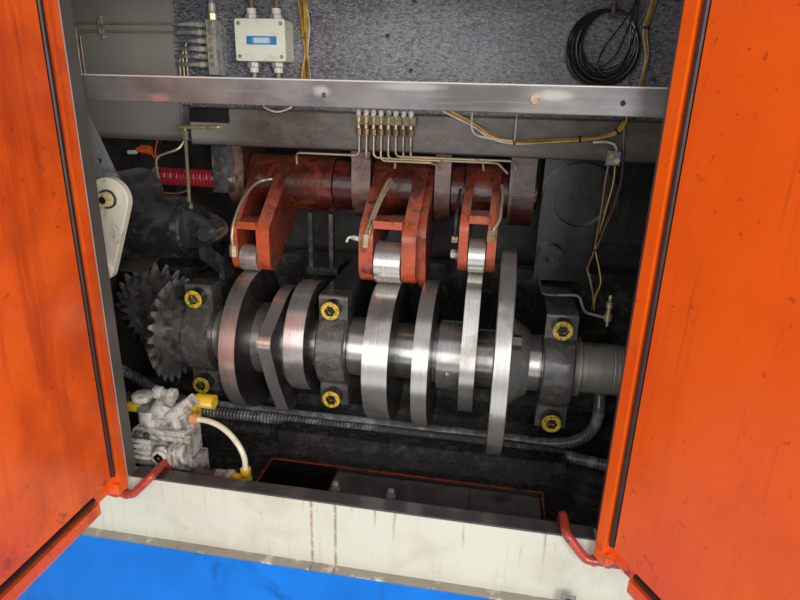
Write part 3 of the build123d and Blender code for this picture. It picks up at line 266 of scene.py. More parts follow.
def apron_paint():
    """Cream sheet with brown runs from the sill, two long drips and a dark band along its foot."""
    foot = edges("apron")[0][2]
    drips_x, drip_half = (-0.152, -0.112), 0.00225
    g = Graph()
    patch = g.noise(11, 6, 0.65, warp=0.5)
    fine = g.noise(60, 3, 0.7, shift=(3, 1, 0))
    streaks = g.noise(1, 4, 0.6, stretch=(90, 1, 5))
    color = g.tones(patch, 0.45, 0.75, (0.66, 0.655, 0.53), (0.57, 0.54, 0.42))
    color = g.tones(fine, 0.66, 0.72, color, (0.3, 0.22, 0.13), 0.5)
    under_sill = g.band(g.z, 0.79, 0.86)
    runs = g.times(g.band(streaks, 0.56, 0.66), g.lerp(under_sill, 0.12, 0.65))
    color = g.tint(color, (0.34, 0.2, 0.1), runs)
    for x in drips_x:
        drip = g.below(g.off(g.x, x), drip_half, 0.00125)
        color = g.tint(color, (0.3, 0.13, 0.06), drip, g.band(fine, 0.3, 0.6), 0.75)
    grime = g.band(g.noise(30, 3, 0.6), 0.3, 0.45)
    # A dark band along the foot, broken up by a noise.
    color = g.tint(color, (0.1, 0.075, 0.06), g.below(g.z, foot + 0.00325, 0.00125), grime, 0.85)
    return g.shade(color, g.lerp(patch, 0.3, 0.5), 0, g.bump(patch, 0.12), 0.1)


def door_enamel(base, dark, shadow, shift):
    """Orange enamel with soft vertical oil runs, smudges and worn pinkish edges at the foot."""
    foot = edges("door_left")[0][2]
    g = Graph()
    runs = g.noise(1, 5, 0.62, stretch=(26, 26, 1.6), shift=(shift, shift, 0))
    patch = g.noise(7, 5, 0.6, shift=(0, shift, 1), warp=0.4)
    fine = g.noise(85, 3, 0.65, shift=(shift, 0, 0))
    thin = g.noise(1, 4, 0.7, stretch=(95, 95, 3), shift=(0, shift, 2))
    # The shadow amount deepens the dark patches, runs and lines: painted shade along with the oil.
    color = g.tones(patch, 0.35, 0.75, base, dark, shadow)
    color = g.tones(runs, 0.5, 0.66, color, dark, 0.85 * shadow)
    color = g.tones(thin, 0.62, 0.7, color, (0.2, 0.025, 0.01), 0.55 * shadow)
    color = g.tones(fine, 0.64, 0.72, color, (0.16, 0.03, 0.015), 0.45)
    worn = g.band(g.noise(40, 4, 0.7), 0.42, 0.5)
    color = g.tint(color, (0.45, 0.24, 0.2), g.band(g.z, foot + 0.0035, foot + 0.0012), worn, 0.9)
    smudge = g.band(g.noise(24, 4, 0.7, shift=(0, 0, shift)), 0.6, 0.68)
    color = g.tint(color, (0.09, 0.035, 0.03), g.band(g.z, foot + 0.1, foot + 0.03), smudge, 0.7)
    rough = g.lerp(g.band(runs, 0.4, 0.7), 0.3, 0.42)
    return g.shade(color, rough, 0, g.bump(g.noise(30, 2), 0.05), 0.08, 0.35)


def wall_paint():
    """Blue-black hammered paint wet with oil, with pale specks as painted glints; a smooth sheet at the left
    and the beam's left end made paler as painted light; a browner beam with a near-black patch as the
    painted shade of its notch.
    """
    sheet_edge = -0.563
    notch_x, notch_z, notch_half, notch_tall, notch_soft = -0.4695, 1.443, 0.0475, 0.0185, 0.001
    g = Graph()
    cloud = g.noise(7, 5, 0.6, warp=0.6)
    grain = g.noise(95, 4, 0.72, stretch=(1, 1, 2.2))
    glint = g.noise(240, 3, 0.75, stretch=(1, 1, 1.8), shift=(0, 4, 0))
    hammered = g.tones(cloud, 0.35, 0.7, (0.13, 0.13, 0.144), (0.24, 0.24, 0.252))
    hammered = g.tones(grain, 0.56, 0.38, hammered, (0.03, 0.03, 0.035), 0.85)
    # The pale specks of the glint pattern are painted glints.
    hammered = g.tones(glint, 0.52, 0.64, hammered, (0.46, 0.46, 0.48), 0.75)
    # The smooth sheet's pale colour is partly painted light, making up for the light that falls off at the
    # left of the bay.
    sheet = g.tones(cloud, 0.4, 0.65, (0.7, 0.69, 0.65), (0.46, 0.455, 0.43))
    sheet = g.tones(grain, 0.45, 0.35, sheet, (0.05, 0.05, 0.05), 0.35)
    right = g.above(g.x, sheet_edge)
    tone = g.noise(18, 6, 0.7, stretch=(1, 1, 2))
    beam = g.tones(tone, 0.38, 0.66, (0.075, 0.06, 0.046), (0.14, 0.115, 0.088))
    beam = g.tones(grain, 0.6, 0.68, beam, (0.03, 0.025, 0.02), 0.6)
    # Paler towards the beam's left end: painted light, for the light that falls off there.
    beam = g.tones(g.x, -0.34, -0.52, beam, (0.42, 0.39, 0.345), 0.75)
    beam = g.tones(g.z, WALL_FOOT + 0.016, WALL_FOOT + 0.002, beam, (0.025, 0.02, 0.017), 0.6)
    # A near-black patch in place of the notch: painted shade of a recess that is not modelled.
    beam = g.tint(beam, (0.01, 0.009, 0.009), g.below(g.off(g.x, notch_x), notch_half, notch_soft),
                  g.below(g.off(g.z, notch_z), notch_tall, notch_soft))
    front = g.below(g.y, WALL_FACE - 0.0015, 0.0004)
    color = g.blend(front, g.blend(right, sheet, hammered), beam)
    rough = g.lerp(front, g.lerp(grain, 0.2, 0.46), 0.5)
    height = g.times(g.math("ADD", grain, g.times(glint, 0.6)), g.lerp(front, 1, 0.3),
                     g.lerp(right, 0.25, 1))
    return g.shade(color, rough, 0, g.bump(height, 0.75, 0.0016), 0.3)


def lever_paint(base, dark, shift):
    """Bright on the fork's front, dark red-brown and wet on the hub behind, with oil in patches."""
    g = Graph()
    patch = g.noise(19, 6, 0.7, shift=(shift, 0, 0), warp=0.7)
    fine = g.noise(70, 4, 0.7, shift=(0, shift, 0))
    back = g.band(g.y, SHAFT_Y, SHAFT_Y + 0.072)
    color = g.tones(patch, 0.36, 0.62, base, between(base, dark, 0.4))
    color = g.tint(color, dark, back, 0.88)
    oil = g.band(g.math("SUBTRACT", patch, g.lerp(back, 0.57, 0.44)), -0.02, 0.1)
    color = g.tint(color, dimmed(dark, 0.35), oil, 0.85)
    # The faces along the camshaft are darkened: painted shade on the lever's sides.
    color = g.tint(color, dark, g.sides(), 0.62)
    color = g.tones(fine, 0.62, 0.68, color, (0.035, 0.012, 0.01), 0.6)
    # Paler patches on the upward faces, most on the fork's front: painted highlight, with some worn paint.
    top_sheen = g.times(g.band(g.facing("Z"), 0.55, 0.95), g.lerp(back, 0.55, 0.12))
    color = g.tint(color, (0.62, 0.24, 0.16), top_sheen, g.band(fine, 0.36, 0.46))
    skin = g.bump(g.noise(130, 3, 0.7), 0.4, 0.0009, g.bump(patch, 0.4, 0.004))
    return g.shade(color, g.lerp(patch, 0.12, 0.42), 0, skin, 0.3)


def pedestal_paint():
    """Beige-brown cast pedestals, oily and red-stained; the one at the right end is dark red."""
    right_x = 0.13
    g = Graph()
    patch = g.noise(24, 6, 0.68, warp=0.6)
    fine = g.noise(90, 3, 0.7)
    color = g.tones(patch, 0.35, 0.62, (0.19, 0.105, 0.072), (0.1, 0.04, 0.026))
    color = g.tint(color, (0.06, 0.016, 0.011), g.above(g.x, right_x))
    color = g.tones(patch, 0.58, 0.68, color, (0.03, 0.014, 0.01), 0.7)
    # The faces along the camshaft are darkened: painted shade on the pedestals' sides.
    color = g.tint(color, (0.04, 0.014, 0.01), g.sides(), 0.75)
    skin = g.bump(fine, 0.3, 0.0007, g.bump(patch, 0.5, 0.004))
    return g.shade(color, g.lerp(patch, 0.16, 0.45), 0, skin, 0.2)


def tooth_steel(cross_x=None):
    """Oily gear steel: near black in the gaps, with a painted pale highlight on the teeth set by their
    distance from the gear's axis.
    """
    g = Graph()
    aside = g.off(g.y, SHAFT_Y) if cross_x is None else g.off(g.x, cross_x)
    r = g.reach(aside, g.off(g.z, SHAFT_Z))
    grime = g.noise(40, 5, 0.68)
    # Painted highlight: the tooth tips, far from the gear's axis, turn pale.
    tip_highlight = g.times(g.band(r, 0.088, 0.106), g.band(grime, 0.66, 0.5))
    color = g.tones(grime, 0.4, 0.66, (0.17, 0.157, 0.137), (0.05, 0.045, 0.039))
    color = g.tint(color, (0.68, 0.65, 0.58), tip_highlight, 0.85)
    metal = g.lerp(tip_highlight, 0.2, 0.6)
    return g.shade(color, g.lerp(grime, 0.18, 0.4), metal, g.bump(grime, 0.3, 0.0008), 0.3)


def cam_paint(rim, side_dark, stain, rough=0.2):
    """Ground rims with fine lines round the shaft; the sides are dark with oil."""
    g = Graph()
    rings = g.noise(1, 3, 0.7, stretch=(620, 5, 5))
    drift = g.noise(9, 4, 0.6, warp=0.4)
    spots = g.noise(46, 4, 0.7)
    color = g.tones(rings, 0.3, 0.7, dimmed(rim, 0.78), rim)
    color = g.tones(drift, 0.5, 0.68, color, (0.2, 0.13, 0.09), stain)
    color = g.tones(spots, 0.64, 0.7, color, (0.06, 0.05, 0.045), 0.5)
    flank = g.sides(0.5, 0.8)
    oil = g.tones(g.noise(22, 5, 0.65), 0.45, 0.7, side_dark, dimmed(side_dark, 2.6))
    roughness = g.lerp(flank, g.lerp(rings, rough * 0.8, rough * 1.6), 0.26)
    return g.shade(g.blend(flank, color, oil), roughness, g.lerp(flank, 0.78, 0.2),
                   g.bump(rings, 0.1, 0.0003))


def oily_steel(base, dark, rough=0.3, axis="X", dirt=0.5, lines=300, metal=0.6):
    """Machined metal under oil: rings round one axis, brown and black stains that gather in spots."""
    g = Graph()
    rings = g.noise(1, 3, 0.7, stretch=[lines if axis == a else 3 for a in "XYZ"])
    stain = g.noise(15, 6, 0.68, warp=0.5)
    color = g.tones(rings, 0.3, 0.7, between(base, dark, 0.38), base)
    color = g.tones(stain, 0.64 - 0.25 * dirt, 0.72, color, dark)
    skin = g.bump(rings, 0.15, 0.0004, g.bump(stain, 0.2))
    return g.shade(color, g.lerp(rings, rough * 0.75, rough * 1.35), metal, skin, 0.15)


def wet_black(base, bright, rough=0.18, grain=34, wet=0.5):
    """Black oily castings: small wet humps that catch the light; the humps are paler, partly worn grey
    places and partly painted sheen, and fine pale flecks are painted glints.
    """
    g = Graph()
    hump = g.noise(grain, 5, 0.68, warp=0.8)
    fine = g.noise(grain * 4.5, 3, 0.7)
    color = g.tones(hump, 0.46, 0.66, base, bright)
    # Fine pale flecks: painted glints.
    color = g.tones(fine, 0.58, 0.68, color, dimmed(bright, 1.8), 0.45)
    skin = g.bump(fine, 0.3, 0.0009, g.bump(hump, wet, 0.003))
    return g.shade(color, g.lerp(hump, rough * 0.7, rough * 2.1), 0, skin, 0.6)


def screw_paint():
    """Dark socket screws with a broad ring of yellow marking paint round each head."""
    rise = 0.0925           # from the shaft's axis up or down to a screw
    g = Graph()
    dz = g.math("SUBTRACT", g.off(g.z, SHAFT_Z), rise)
    dx = g.math("MINIMUM", *[g.off(g.x, x) for x in CAP_X])
    ring = g.ring(g.reach(dz, dx), 0.0092, 0.0182, 0.0006)
    front = g.band(g.facing("Y"), -0.1, -0.5)
    breaks = g.lerp(g.band(g.noise(120, 4, 0.7), 0.34, 0.44), 0.25, 1)
    paint = g.times(ring, front, breaks)
    grime = g.noise(70, 4, 0.6)
    steel = g.tones(grime, 0.4, 0.7, (0.03, 0.027, 0.022), (0.13, 0.11, 0.08))
    yellow = g.tones(g.noise(210, 3, 0.7), 0.42, 0.62, (0.8, 0.57, 0.05), (0.42, 0.24, 0.03))
    return g.shade(g.blend(paint, steel, yellow), g.lerp(grime, 0.2, 0.45), g.lerp(paint, 0.5, 0),
                   g.bump(grime, 0.2, 0.0006), 0.2)


def link_bolt_paint():
    """A pale ring of old yellow paint round the bolt's dark socket."""
    bolt_x, _, bolt_z = middle("link_bolt")
    g = Graph()
    grime = g.noise(90, 4, 0.65)
    pale = g.tones(grime, 0.5, 0.7, (0.82, 0.74, 0.36), (0.5, 0.36, 0.08))
    ring = g.ring(g.reach(g.off(g.x, bolt_x), g.off(g.z, bolt_z)), 0.0065, 0.013, 0.0005)
    return g.shade(g.blend(ring, (0.03, 0.027, 0.024), pale), 0.35, 0, g.bump(grime, 0.2, 0.0005), 0.1)


def manifold_metal():
    """The upright bar is pale grey metal; the row on the beam sits in dark old brass."""
    row_x = -0.3
    g = Graph()
    grime = g.noise(60, 5, 0.65)
    pale = g.tones(grime, 0.48, 0.7, (0.6, 0.58, 0.52), (0.26, 0.24, 0.2))
    row = g.tones(grime, 0.4, 0.65, (0.16, 0.13, 0.07), (0.05, 0.04, 0.025))
    color = g.blend(g.above(g.x, row_x), pale, row)
    return g.shade(color, g.lerp(grime, 0.25, 0.45), 0.35, g.bump(grime, 0.15, 0.0005))


def pipe_paint():
    """One material for the air lines, with each run's own finish by place."""
    supply_x, dark_x, nut_x, elbow_x = -0.4985, -0.418, -0.3859, -0.32595
    hose_z, cap_y = 0.858, 0.0992
    g = Graph()
    grime = g.noise(55, 4, 0.65)
    silver = g.tones(grime, 0.45, 0.68, (0.52, 0.51, 0.47), (0.15, 0.14, 0.12))
    dark = g.tones(grime, 0.45, 0.7, (0.1, 0.085, 0.08), (0.03, 0.026, 0.025))
    yellow = g.tones(grime, 0.52, 0.72, (0.85, 0.56, 0.02), (0.5, 0.3, 0.03))
    cream = g.tones(grime, 0.5, 0.8, (0.8, 0.78, 0.56), (0.5, 0.46, 0.3))
    high = g.above(g.z, hose_z, 0.0003)
    color = g.blend(g.above(g.x, dark_x), silver, dark)
    color = g.tint(color, yellow, g.above(g.x, elbow_x, 0.0001))
    color = g.tint(color, cream, high)
    color = g.tint(color, (0.7, 0.33, 0.12), high, g.band(g.x, nut_x, nut_x - 0.0003))
    color = g.tones(g.x, supply_x, supply_x - 0.0005, color, yellow)
    color = g.tint(color, yellow, g.above(g.y, cap_y, 0.0003))
    return g.shade(color, g.lerp(grime, 0.22, 0.45), 0.05, g.bump(grime, 0.25, 0.0007), 0.2)


def hose_paint():
    """Black rubber, wet, painted dark grey and pale grey in clouds as painted sheen; the front hose's ribs
    are a sine of 760 times the way along the machine.
    """
    ribs_per_metre, front_y = 760, 0.394
    g = Graph()
    wave = g.math("SINE", g.times(g.x, ribs_per_metre))
    ribs = g.times(g.below(g.y, front_y, 0.002), wave)
    wet = g.noise(30, 5, 0.6)
    # The pale grey clouds and the grey base are painted sheen on the black rubber.
    color = g.tones(wet, 0.45, 0.68, (0.16, 0.16, 0.154), (0.46, 0.455, 0.44))
    skin = g.bump(ribs, 0.8, 0.0014, g.bump(wet, 0.3, 0.0015))
    return g.shade(color, g.lerp(wet, 0.13, 0.34), 0, skin, 0.5)


def trough_paint():
    """Red-brown rim; black with oil inside."""
    top = edges("oil_trough")[1][2]
    g = Graph()
    patch = g.noise(26, 5, 0.65, warp=0.4)
    rim = g.tones(patch, 0.45, 0.68, (0.2, 0.028, 0.016), (0.05, 0.012, 0.009))
    color = g.blend(g.above(g.z, top - 0.0015, 0.0008), (0.006, 0.005, 0.005), rim)
    return g.shade(color, g.lerp(patch, 0.14, 0.4), 0, g.bump(patch, 0.2), 0.4)


def rail_steel():
    """Worn bare sheet with a painted highlight along its top edge; each rub is an oval of x / wide and z /
    tall, frayed by clouds.
    """
    top = edges("guard_rail")[1][2]
    rubs = ((-0.379, 1.472, 0.02, 0.008, (0.5, 0.25, 0.19)),
            (-0.14, 1.486, 0.015, 0.01, (0.55, 0.54, 0.52)),
            (0.143, 1.483, 0.012, 0.009, (0.45, 0.26, 0.14)),
            (0.165, 1.488, 0.03, 0.008, (0.5, 0.48, 0.45)),
            (-0.02, 1.494, 0.06, 0.006, (0.42, 0.41, 0.4)))
    g = Graph()
    brushed = g.noise(1, 4, 0.65, stretch=(6, 60, 160))
    cloud = g.noise(10, 5, 0.6, warp=0.5)
    color = g.tones(cloud, 0.35, 0.7, (0.2, 0.188, 0.178), (0.1, 0.09, 0.084))
    color = g.tones(brushed, 0.5, 0.75, color, (0.29, 0.28, 0.265), 0.45)
    color = g.tones(g.x, -0.2, -0.42, color, (0.13, 0.1, 0.085), 0.35)
    # Painted highlight along the top edge.
    color = g.tones(g.z, top - 0.0025, top - 0.0012, color, (0.66, 0.65, 0.62))
    for x, z, wide, tall, rub in rubs:
        dx = g.math("DIVIDE", g.off(g.x, x), wide)
        dz = g.math("DIVIDE", g.off(g.z, z), tall)
        frayed = g.math("ADD", g.reach(dx, dz), g.times(cloud, 0.8))
        color = g.tones(frayed, 1.5, 0.7, color, rub, 0.55)
    return g.shade(color, g.lerp(cloud, 0.36, 0.55), 0.25, g.bump(brushed, 0.12, 0.0005))


def box_paint():
    """Cream-green box; a plain blue field with a pale middle on its lid, rust specks at the edges."""
    box_x, _, box_z = middle("junction_box")
    g = Graph()
    grime = g.noise(38, 5, 0.65, warp=0.4)
    specks = g.noise(75, 4, 0.7, shift=(2, 0, 1))
    color = g.tones(grime, 0.5, 0.75, (0.88, 0.9, 0.71), (0.7, 0.66, 0.48))
    color = g.tones(specks, 0.68, 0.72, color, (0.3, 0.12, 0.05), 0.7)
    dx, dz = g.off(g.x, box_x + 0.0025), g.off(g.z, box_z - 0.0005)
    front = g.band(g.facing("Y"), -0.5, -0.9)
    pale = g.times(g.band(dx, 0.021, 0.012), g.band(dz, 0.0062, 0.0035))
    color = g.tint(color, g.blend(pale, (0.02, 0.24, 0.56), (0.62, 0.76, 0.85)),
                   g.band(dx, 0.0305, 0.0298), g.band(dz, 0.0078, 0.0072), front)
    return g.shade(color, g.lerp(grime, 0.35, 0.55), 0, g.bump(grime, 0.12, 0.0005))


mats = dict(
    base_plinth=oily_paint((0.002, 0.16, 0.6), (0.002, 0.08, 0.32), 0.42, 0.2, 5,
                           coat=0, specular=0.15),
    apron=apron_paint(),
    enclosure=housing_paint(),
    # The left leaf's deeper dark and larger shadow amount are painted shade; both leaves are the same
    # enamel.
    door_left=door_enamel((0.98, 0.135, 0.013), (0.5, 0.045, 0.007), 0.75, 0),
    door_right=door_enamel((1, 0.13, 0.007), (0.82, 0.08, 0.007), 0.5, 2.2),
    hinge_arms=oily_paint((0.42, 0.05, 0.025), (0.12, 0.02, 0.015), 0.25, 0.4, 40,
                          bare=(0.5, 0.3, 0.26)),
    dark_sheet=oily_paint((0.055, 0.054, 0.05), (0.018, 0.017, 0.016), 0.3, 0.6, 12),
    wall_casting=wall_paint(),
    casting=wet_black((0.036, 0.035, 0.033), (0.095, 0.093, 0.087), 0.15),
    side_casting=wet_black((0.01, 0.01, 0.009), (0.022, 0.022, 0.019), 0.24, 14, 0.2),
    cap=wet_black((0.085, 0.078, 0.068), (0.15, 0.137, 0.118), 0.19, 45, 0.3),
    lever=lever_paint((0.58, 0.1, 0.032), (0.12, 0.02, 0.012), 1.3),
    rocker_shaft=lever_paint((0.16, 0.026, 0.014), (0.1, 0.016, 0.01), 2.6),
    rocker_pedestals=pedestal_paint(),
    gear_guard=oily_paint((0.06, 0.05, 0.04), (0.02, 0.016, 0.012), 0.3, 0.6, 25),
    link_plate=oily_paint((0.86, 0.8, 0.63), (0.5, 0.4, 0.25), 0.38, 0.25, 30, 0.4, 0.1,
                          (0.12, 0.09, 0.06)),
    link_bolt=link_bolt_paint(),
    drive_drum=wet_black((0.014, 0.014, 0.015), (0.045, 0.045, 0.046), 0.2, 9, 0.2),
    oil_trough=trough_paint(),
    return_spring=oily_paint((0.34, 0.018, 0.026), (0.07, 0.008, 0.008), 0.25, 0.4, 60),
    guard_rail=rail_steel(),
    cam=cam_paint((0.7, 0.675, 0.62), (0.024, 0.022, 0.02), 0.5),
    cam_1=cam_paint((0.62, 0.54, 0.48), (0.022, 0.02, 0.018), 0.6, 0.24),
    shaft=oily_steel((0.64, 0.595, 0.51), (0.19, 0.155, 0.12), 0.3, "X", 0.35),
    camshaft_bevel_gear=tooth_steel(),
    cross_bevel_gear=tooth_steel(middle("cross_bevel_gear")[0]),
    roller=cam_paint((0.82, 0.79, 0.72), (0.2, 0.17, 0.13), 0.15),
    screw=oily_steel((0.2, 0.18, 0.15), (0.04, 0.035, 0.03), 0.3, "Y", 0.5, 90),
    cover_screws=oily_paint((0.42, 0.3, 0.2), (0.14, 0.07, 0.04), 0.4, 0.8, 90),
    cap_screws=screw_paint(),
    bearing_bushes=bush_bronze(),
    alloy=oily_paint((0.56, 0.54, 0.47), (0.09, 0.08, 0.065), 0.3, 0.85, 55, 0.3, 0.2,
                     (0.75, 0.73, 0.66)),
    pipes=pipe_paint(),
    oil_manifolds=manifold_metal(),
    brass=oily_steel((0.62, 0.52, 0.3), (0.2, 0.14, 0.07), 0.28, "Z", 0.4, 60, 0.45),
    dark_brass=oily_steel((0.36, 0.26, 0.12), (0.08, 0.06, 0.03), 0.3, "Z", 0.5, 60, 0.45),
    tube=oily_steel((0.5, 0.4, 0.26), (0.22, 0.15, 0.08), 0.3, "X", 0.4, 20, 0.35),
    grey=oily_paint((0.22, 0.225, 0.215), (0.06, 0.058, 0.055), 0.3, 0.5, 35, 0.9, 0.2,
                    (0.36, 0.36, 0.33)),
    drum_bracket=wet_black((0.03, 0.03, 0.031), (0.075, 0.075, 0.073), 0.22, 26),
    rubber=hose_paint(),
    seal=plastic((0.03, 0.012, 0.011), 0.45, 90),
    junction_box=box_paint(),
    wire=plastic((0.66, 0.42, 0.05), 0.35),
    brown=plastic((0.3, 0.16, 0.05), 0.35),
    pale=plastic((0.66, 0.62, 0.5)),
    coil=plastic((0.03, 0.03, 0.032), 0.2),
    signal=plastic((0.72, 0.1, 0.02), 0.35),
)
for key, mat in mats.items():
    mat.name = key

# The nodes that share a finish; each other node wears the one under its own name
shared = dict(
    casting="bay_floor bed_casting cross_bearing spring_guide", shaft="camshaft spring_rod",
    cap="bearing_cap_left bearing_cap_middle bearing_cap_right", dark_sheet="sill_strip trough_plates",
    lever="rocker_lever_1 rocker_lever_2 rocker_lever_3", roller="roller_1 roller_2 roller_3",
    cam="cam_2 cam_3 cam_4 cam_5 cam_6 cam_7", screw="cam_bolt roller_pin_1 roller_pin_2 roller_pin_3",
    grey="stay_bar", rubber="hoses", alloy="air_valve", pipes="air_pipes", tube="oil_tubes",
    wire="cable_bundle", coil="cable_coil",
)
wears = {name: key for key, names in shared.items() for name in names.split()}
for name, node in frame["nodes"].items():
    node.data.materials.clear()
    node.data.materials.append(mats[wears.get(name, name)])


def shown(name, data):
    """A new object of the scene with this data, at the origin."""
    obj = bpy.data.objects.new(name, data)
    bpy.context.scene.collection.objects.link(obj)
    return obj


# Surfaces for the small pieces: rings of points carried along a line. Their places are in millimetres
MM = 0.001
LEAN = (0.5, -0.6, 0.6)       # a direction that none of the wires runs along


def smooth(*points, steps=8):
    """On each span the cubic that leaves a point along the line between its neighbours."""
    p = MM * np.array(points, float)
    p = np.vstack([2 * p[0] - p[1], p, 2 * p[-1] - p[-2]])
    t = np.linspace(0, 1, steps, endpoint=False)[None, :, None]
    a, b, c, d = (p[i:len(p) - 3 + i, None] for i in range(4))
    out = 2 * b + (c - a) * t + (2 * a - 5 * b + 4 * c - d) * t ** 2 + (3 * b - a - 3 * c + d) * t ** 3
    return np.vstack([0.5 * out.reshape(-1, 3), p[-2:-1]])


def piped(radius, *points):
    """Straight runs; each corner is the parabola that touches both runs at the radius from it."""
    steps = 5
    p = MM * np.array(points, float)
    a, b, c = p[:-2], p[1:-1], p[2:]
    before = np.linalg.norm(a - b, axis=1, keepdims=True)
    after = np.linalg.norm(c - b, axis=1, keepdims=True)
    r = np.minimum(MM * radius, 0.45 * np.minimum(before, after))
    u = b + (a - b) / before * r
    v = b + (c - b) / after * r
    t = np.linspace(0, 1, steps + 1)[None, :, None]
    arcs = (1 - t) ** 2 * u[:, None] + 2 * t * (1 - t) * b[:, None] + t ** 2 * v[:, None]
    return np.vstack([p[:1], arcs.reshape(-1, 3), p[-1:]])


def across(path, closed, lean):
    """Two unit vectors square to the line at each point: the line's way crossed with one fixed direction,
    and its way crossed with that."""
    ahead = np.roll(path, -1, 0) - np.roll(path, 1, 0)
    if not closed:
        ahead[0] = path[1] - path[0]
        ahead[-1] = path[-1] - path[-2]
    ahead /= np.linalg.norm(ahead, axis=1, keepdims=True)
    if lean is None:
        lean = np.linalg.svd(path - path.mean(0))[2][2]
    side = np.cross(ahead, lean)
    side /= np.linalg.norm(side, axis=1, keepdims=True)
    return side, np.cross(ahead, side)


class Piece:
    """One object: grids of points from several parts, with a finish for each part."""

    def __init__(self, name, body, slot, *keys):
        """The body it rides and the finishes that its parts use; the first is the plain one. The slot is
        kept but not used.
        """
        self.name, self.body, self.slot, self.keys = name, body, slot, keys
        self.points, self.faces, self.finish = [], [], []
        self.count = 0

    def rings(self, grid, key=None, closed=False):
        """Closed rings of points, each joined to the next by four-sided faces, with flat ends."""
        n, m = grid.shape[:2]
        index = np.arange(n * m).reshape(n, m) + self.count
        rows = np.vstack([index, index[:1]]) if closed else index
        turn = np.roll(rows, -1, 1)
        faces = np.stack([rows[:-1], turn[:-1], turn[1:], rows[1:]], -1).reshape(-1, 4).tolist()
        if not closed:
            faces += [index[0][::-1].tolist(), index[-1].tolist()]
        self.points.append(grid.reshape(-1, 3))
        self.faces += faces
        self.finish += [self.keys.index(key or self.keys[0])] * len(faces)
        self.count += n * m

    def bar(self, path, radius, key=None, sides=8, closed=False, lean=None):
        """Round bar: line point + r (cos a side + sin a up), with r one value or one for each point."""
        side, up = across(path, closed, lean)
        r = np.broadcast_to(MM * radius, len(path))[:, None, None]
        a = np.linspace(0, 2 * math.pi, sides, endpoint=False)[None, :, None]
        self.rings(path[:, None] + r * (np.cos(a) * side[:, None] + np.sin(a) * up[:, None]), key, closed)

    def turned(self, start, end, profile, key=None, sides=16):
        """A profile of (share along, radius) turned round the axis from start to end."""
        a, b = MM * np.array(start, float), MM * np.array(end, float)
        share, radius = np.array(profile, float).T
        self.bar(a + (b - a) * share[:, None], radius, key, sides)

    def stick(self, start, end, radius, key=None, sides=6, ends=1):
        """A short bar or nut: the radius all along, less the easing at both ends."""
        e = min(ends / math.dist(start, end), 0.3)
        profile = ((0, radius - ends), (e, radius), (1 - e, radius), (1, radius - ends))
        self.turned(start, end, profile, key, sides)

    def plate(self, left, right, face, low, high, thick, key=None, ease=0.8):
        """An upright rectangle carried forwards by its thickness, drawn in at both faces by the easing."""
        outline = (left, face, low), (right, face, low), (right, face, high), (left, face, high)
        p = MM * np.array(outline, float)
        forwards = np.array([0, -1, 0])
        centre = p.mean(0)
        inward = MM * ease / np.linalg.norm(p - centre, axis=1).max()
        shrink = np.array([inward, 0, 0, inward])[:, None, None]
        lift = MM * np.array([0, ease, thick - ease, thick])[:, None, None]
        self.rings(centre + (p - centre)[None] * (1 - shrink) + forwards * lift, key)

    def make(self, *stands_for):
        """The mesh from all the grids, faces outwards, sharp past 35 degrees, riding its body."""
        mesh = bpy.data.meshes.new(self.name)
        mesh.from_pydata(np.vstack(self.points).tolist(), [], self.faces)
        mesh.polygons.foreach_set("material_index", self.finish)
        mesh.polygons.foreach_set("use_smooth", [True] * len(self.faces))
        mesh.set_sharp_from_angle(angle=math.radians(35))
        for key in self.keys:
            mesh.materials.append(mats[key])
        form = bmesh.new()
        form.from_mesh(mesh)
        bmesh.ops.recalc_face_normals(form, faces=form.faces)
        form.to_mesh(mesh)
        form.free()
        obj = shown(self.name, mesh)
        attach(obj, self.body)
        if stands_for:
            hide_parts(*stands_for)


# Door seals, laid out on the leaf: s from its hinge, n out of its inner face, z up
def left_leaf_point(s, n, z):
    """The left leaf stands straight out: n is along X and s along Y, both reversed."""
    hinge_x, hinge_y = -468.5, -8.5
    return hinge_x - n, hinge_y - s, z


def right_leaf_point(s, n, z):
    """The right leaf stands open by 120 degrees: its shut place turned by that round the hinge."""
    hinge_x, hinge_y, set_off, face = 301.5, -16, 7.5, 14
    cos, sin = -0.5, math.sqrt(0.75)
    dx, dy = set_off - s, face - n
    return hinge_x + cos * dx - sin * dy, hinge_y + sin * dx + cos * dy, z


def seal(name, body, point):
    """A round bead in the leaf's groove: a line along its free edge, and one along its hinge."""
    depth, radius, corner = 7.2, 4.2, 12
    near, far, hinge_side, low, high = 76, 371.5, 26.5, 876.5, 1673.5
    bead = Piece(name, body, "hose_rubber", "seal")
    free = [point(s, depth, z) for s, z in ((near, low), (far, low), (far, high), (near, high))]
    bead.bar(piped(corner, *free), radius, sides=10)
    bead.bar(piped(corner, *[point(hinge_side, depth, z) for z in (886, 1200, 1664)]), radius, sides=10)
    bead.make()


def bundle(piece, rng, points, spread, keys, radius, rounds, pinch=None):
    """Wires round a common line: each one's angle sways by a sine of its rounds, its distance swells by
    another sine, and a bell curve round the pinch draws them in at the tie."""
    sway, near, swell, drawn_in, tie_reach = 0.8, 0.78, 0.22, 0.6, 0.09
    path = smooth(*points, steps=10)
    side, up = across(path, False, LEAN)
    t = np.linspace(0, 1, len(path))
    held = 1 if pinch is None else 1 - drawn_in * np.exp(-((t - pinch) / tie_reach) ** 2)
    for k, key in enumerate(keys):
        start = 2 * math.pi * k / len(keys) + rng.uniform(0, 1)
        angle = start + sway * np.sin(2 * math.pi * (t * rounds + rng.uniform(0, 1)))
        wave = np.sin(2 * math.pi * (2 * t + rng.uniform(0, 1)))
        reach = MM * spread * held * (near + swell * wave)
        off = reach[:, None] * (np.cos(angle)[:, None] * side + np.sin(angle)[:, None] * up)
        piece.bar(path + off, radius, key, 6, lean=LEAN)


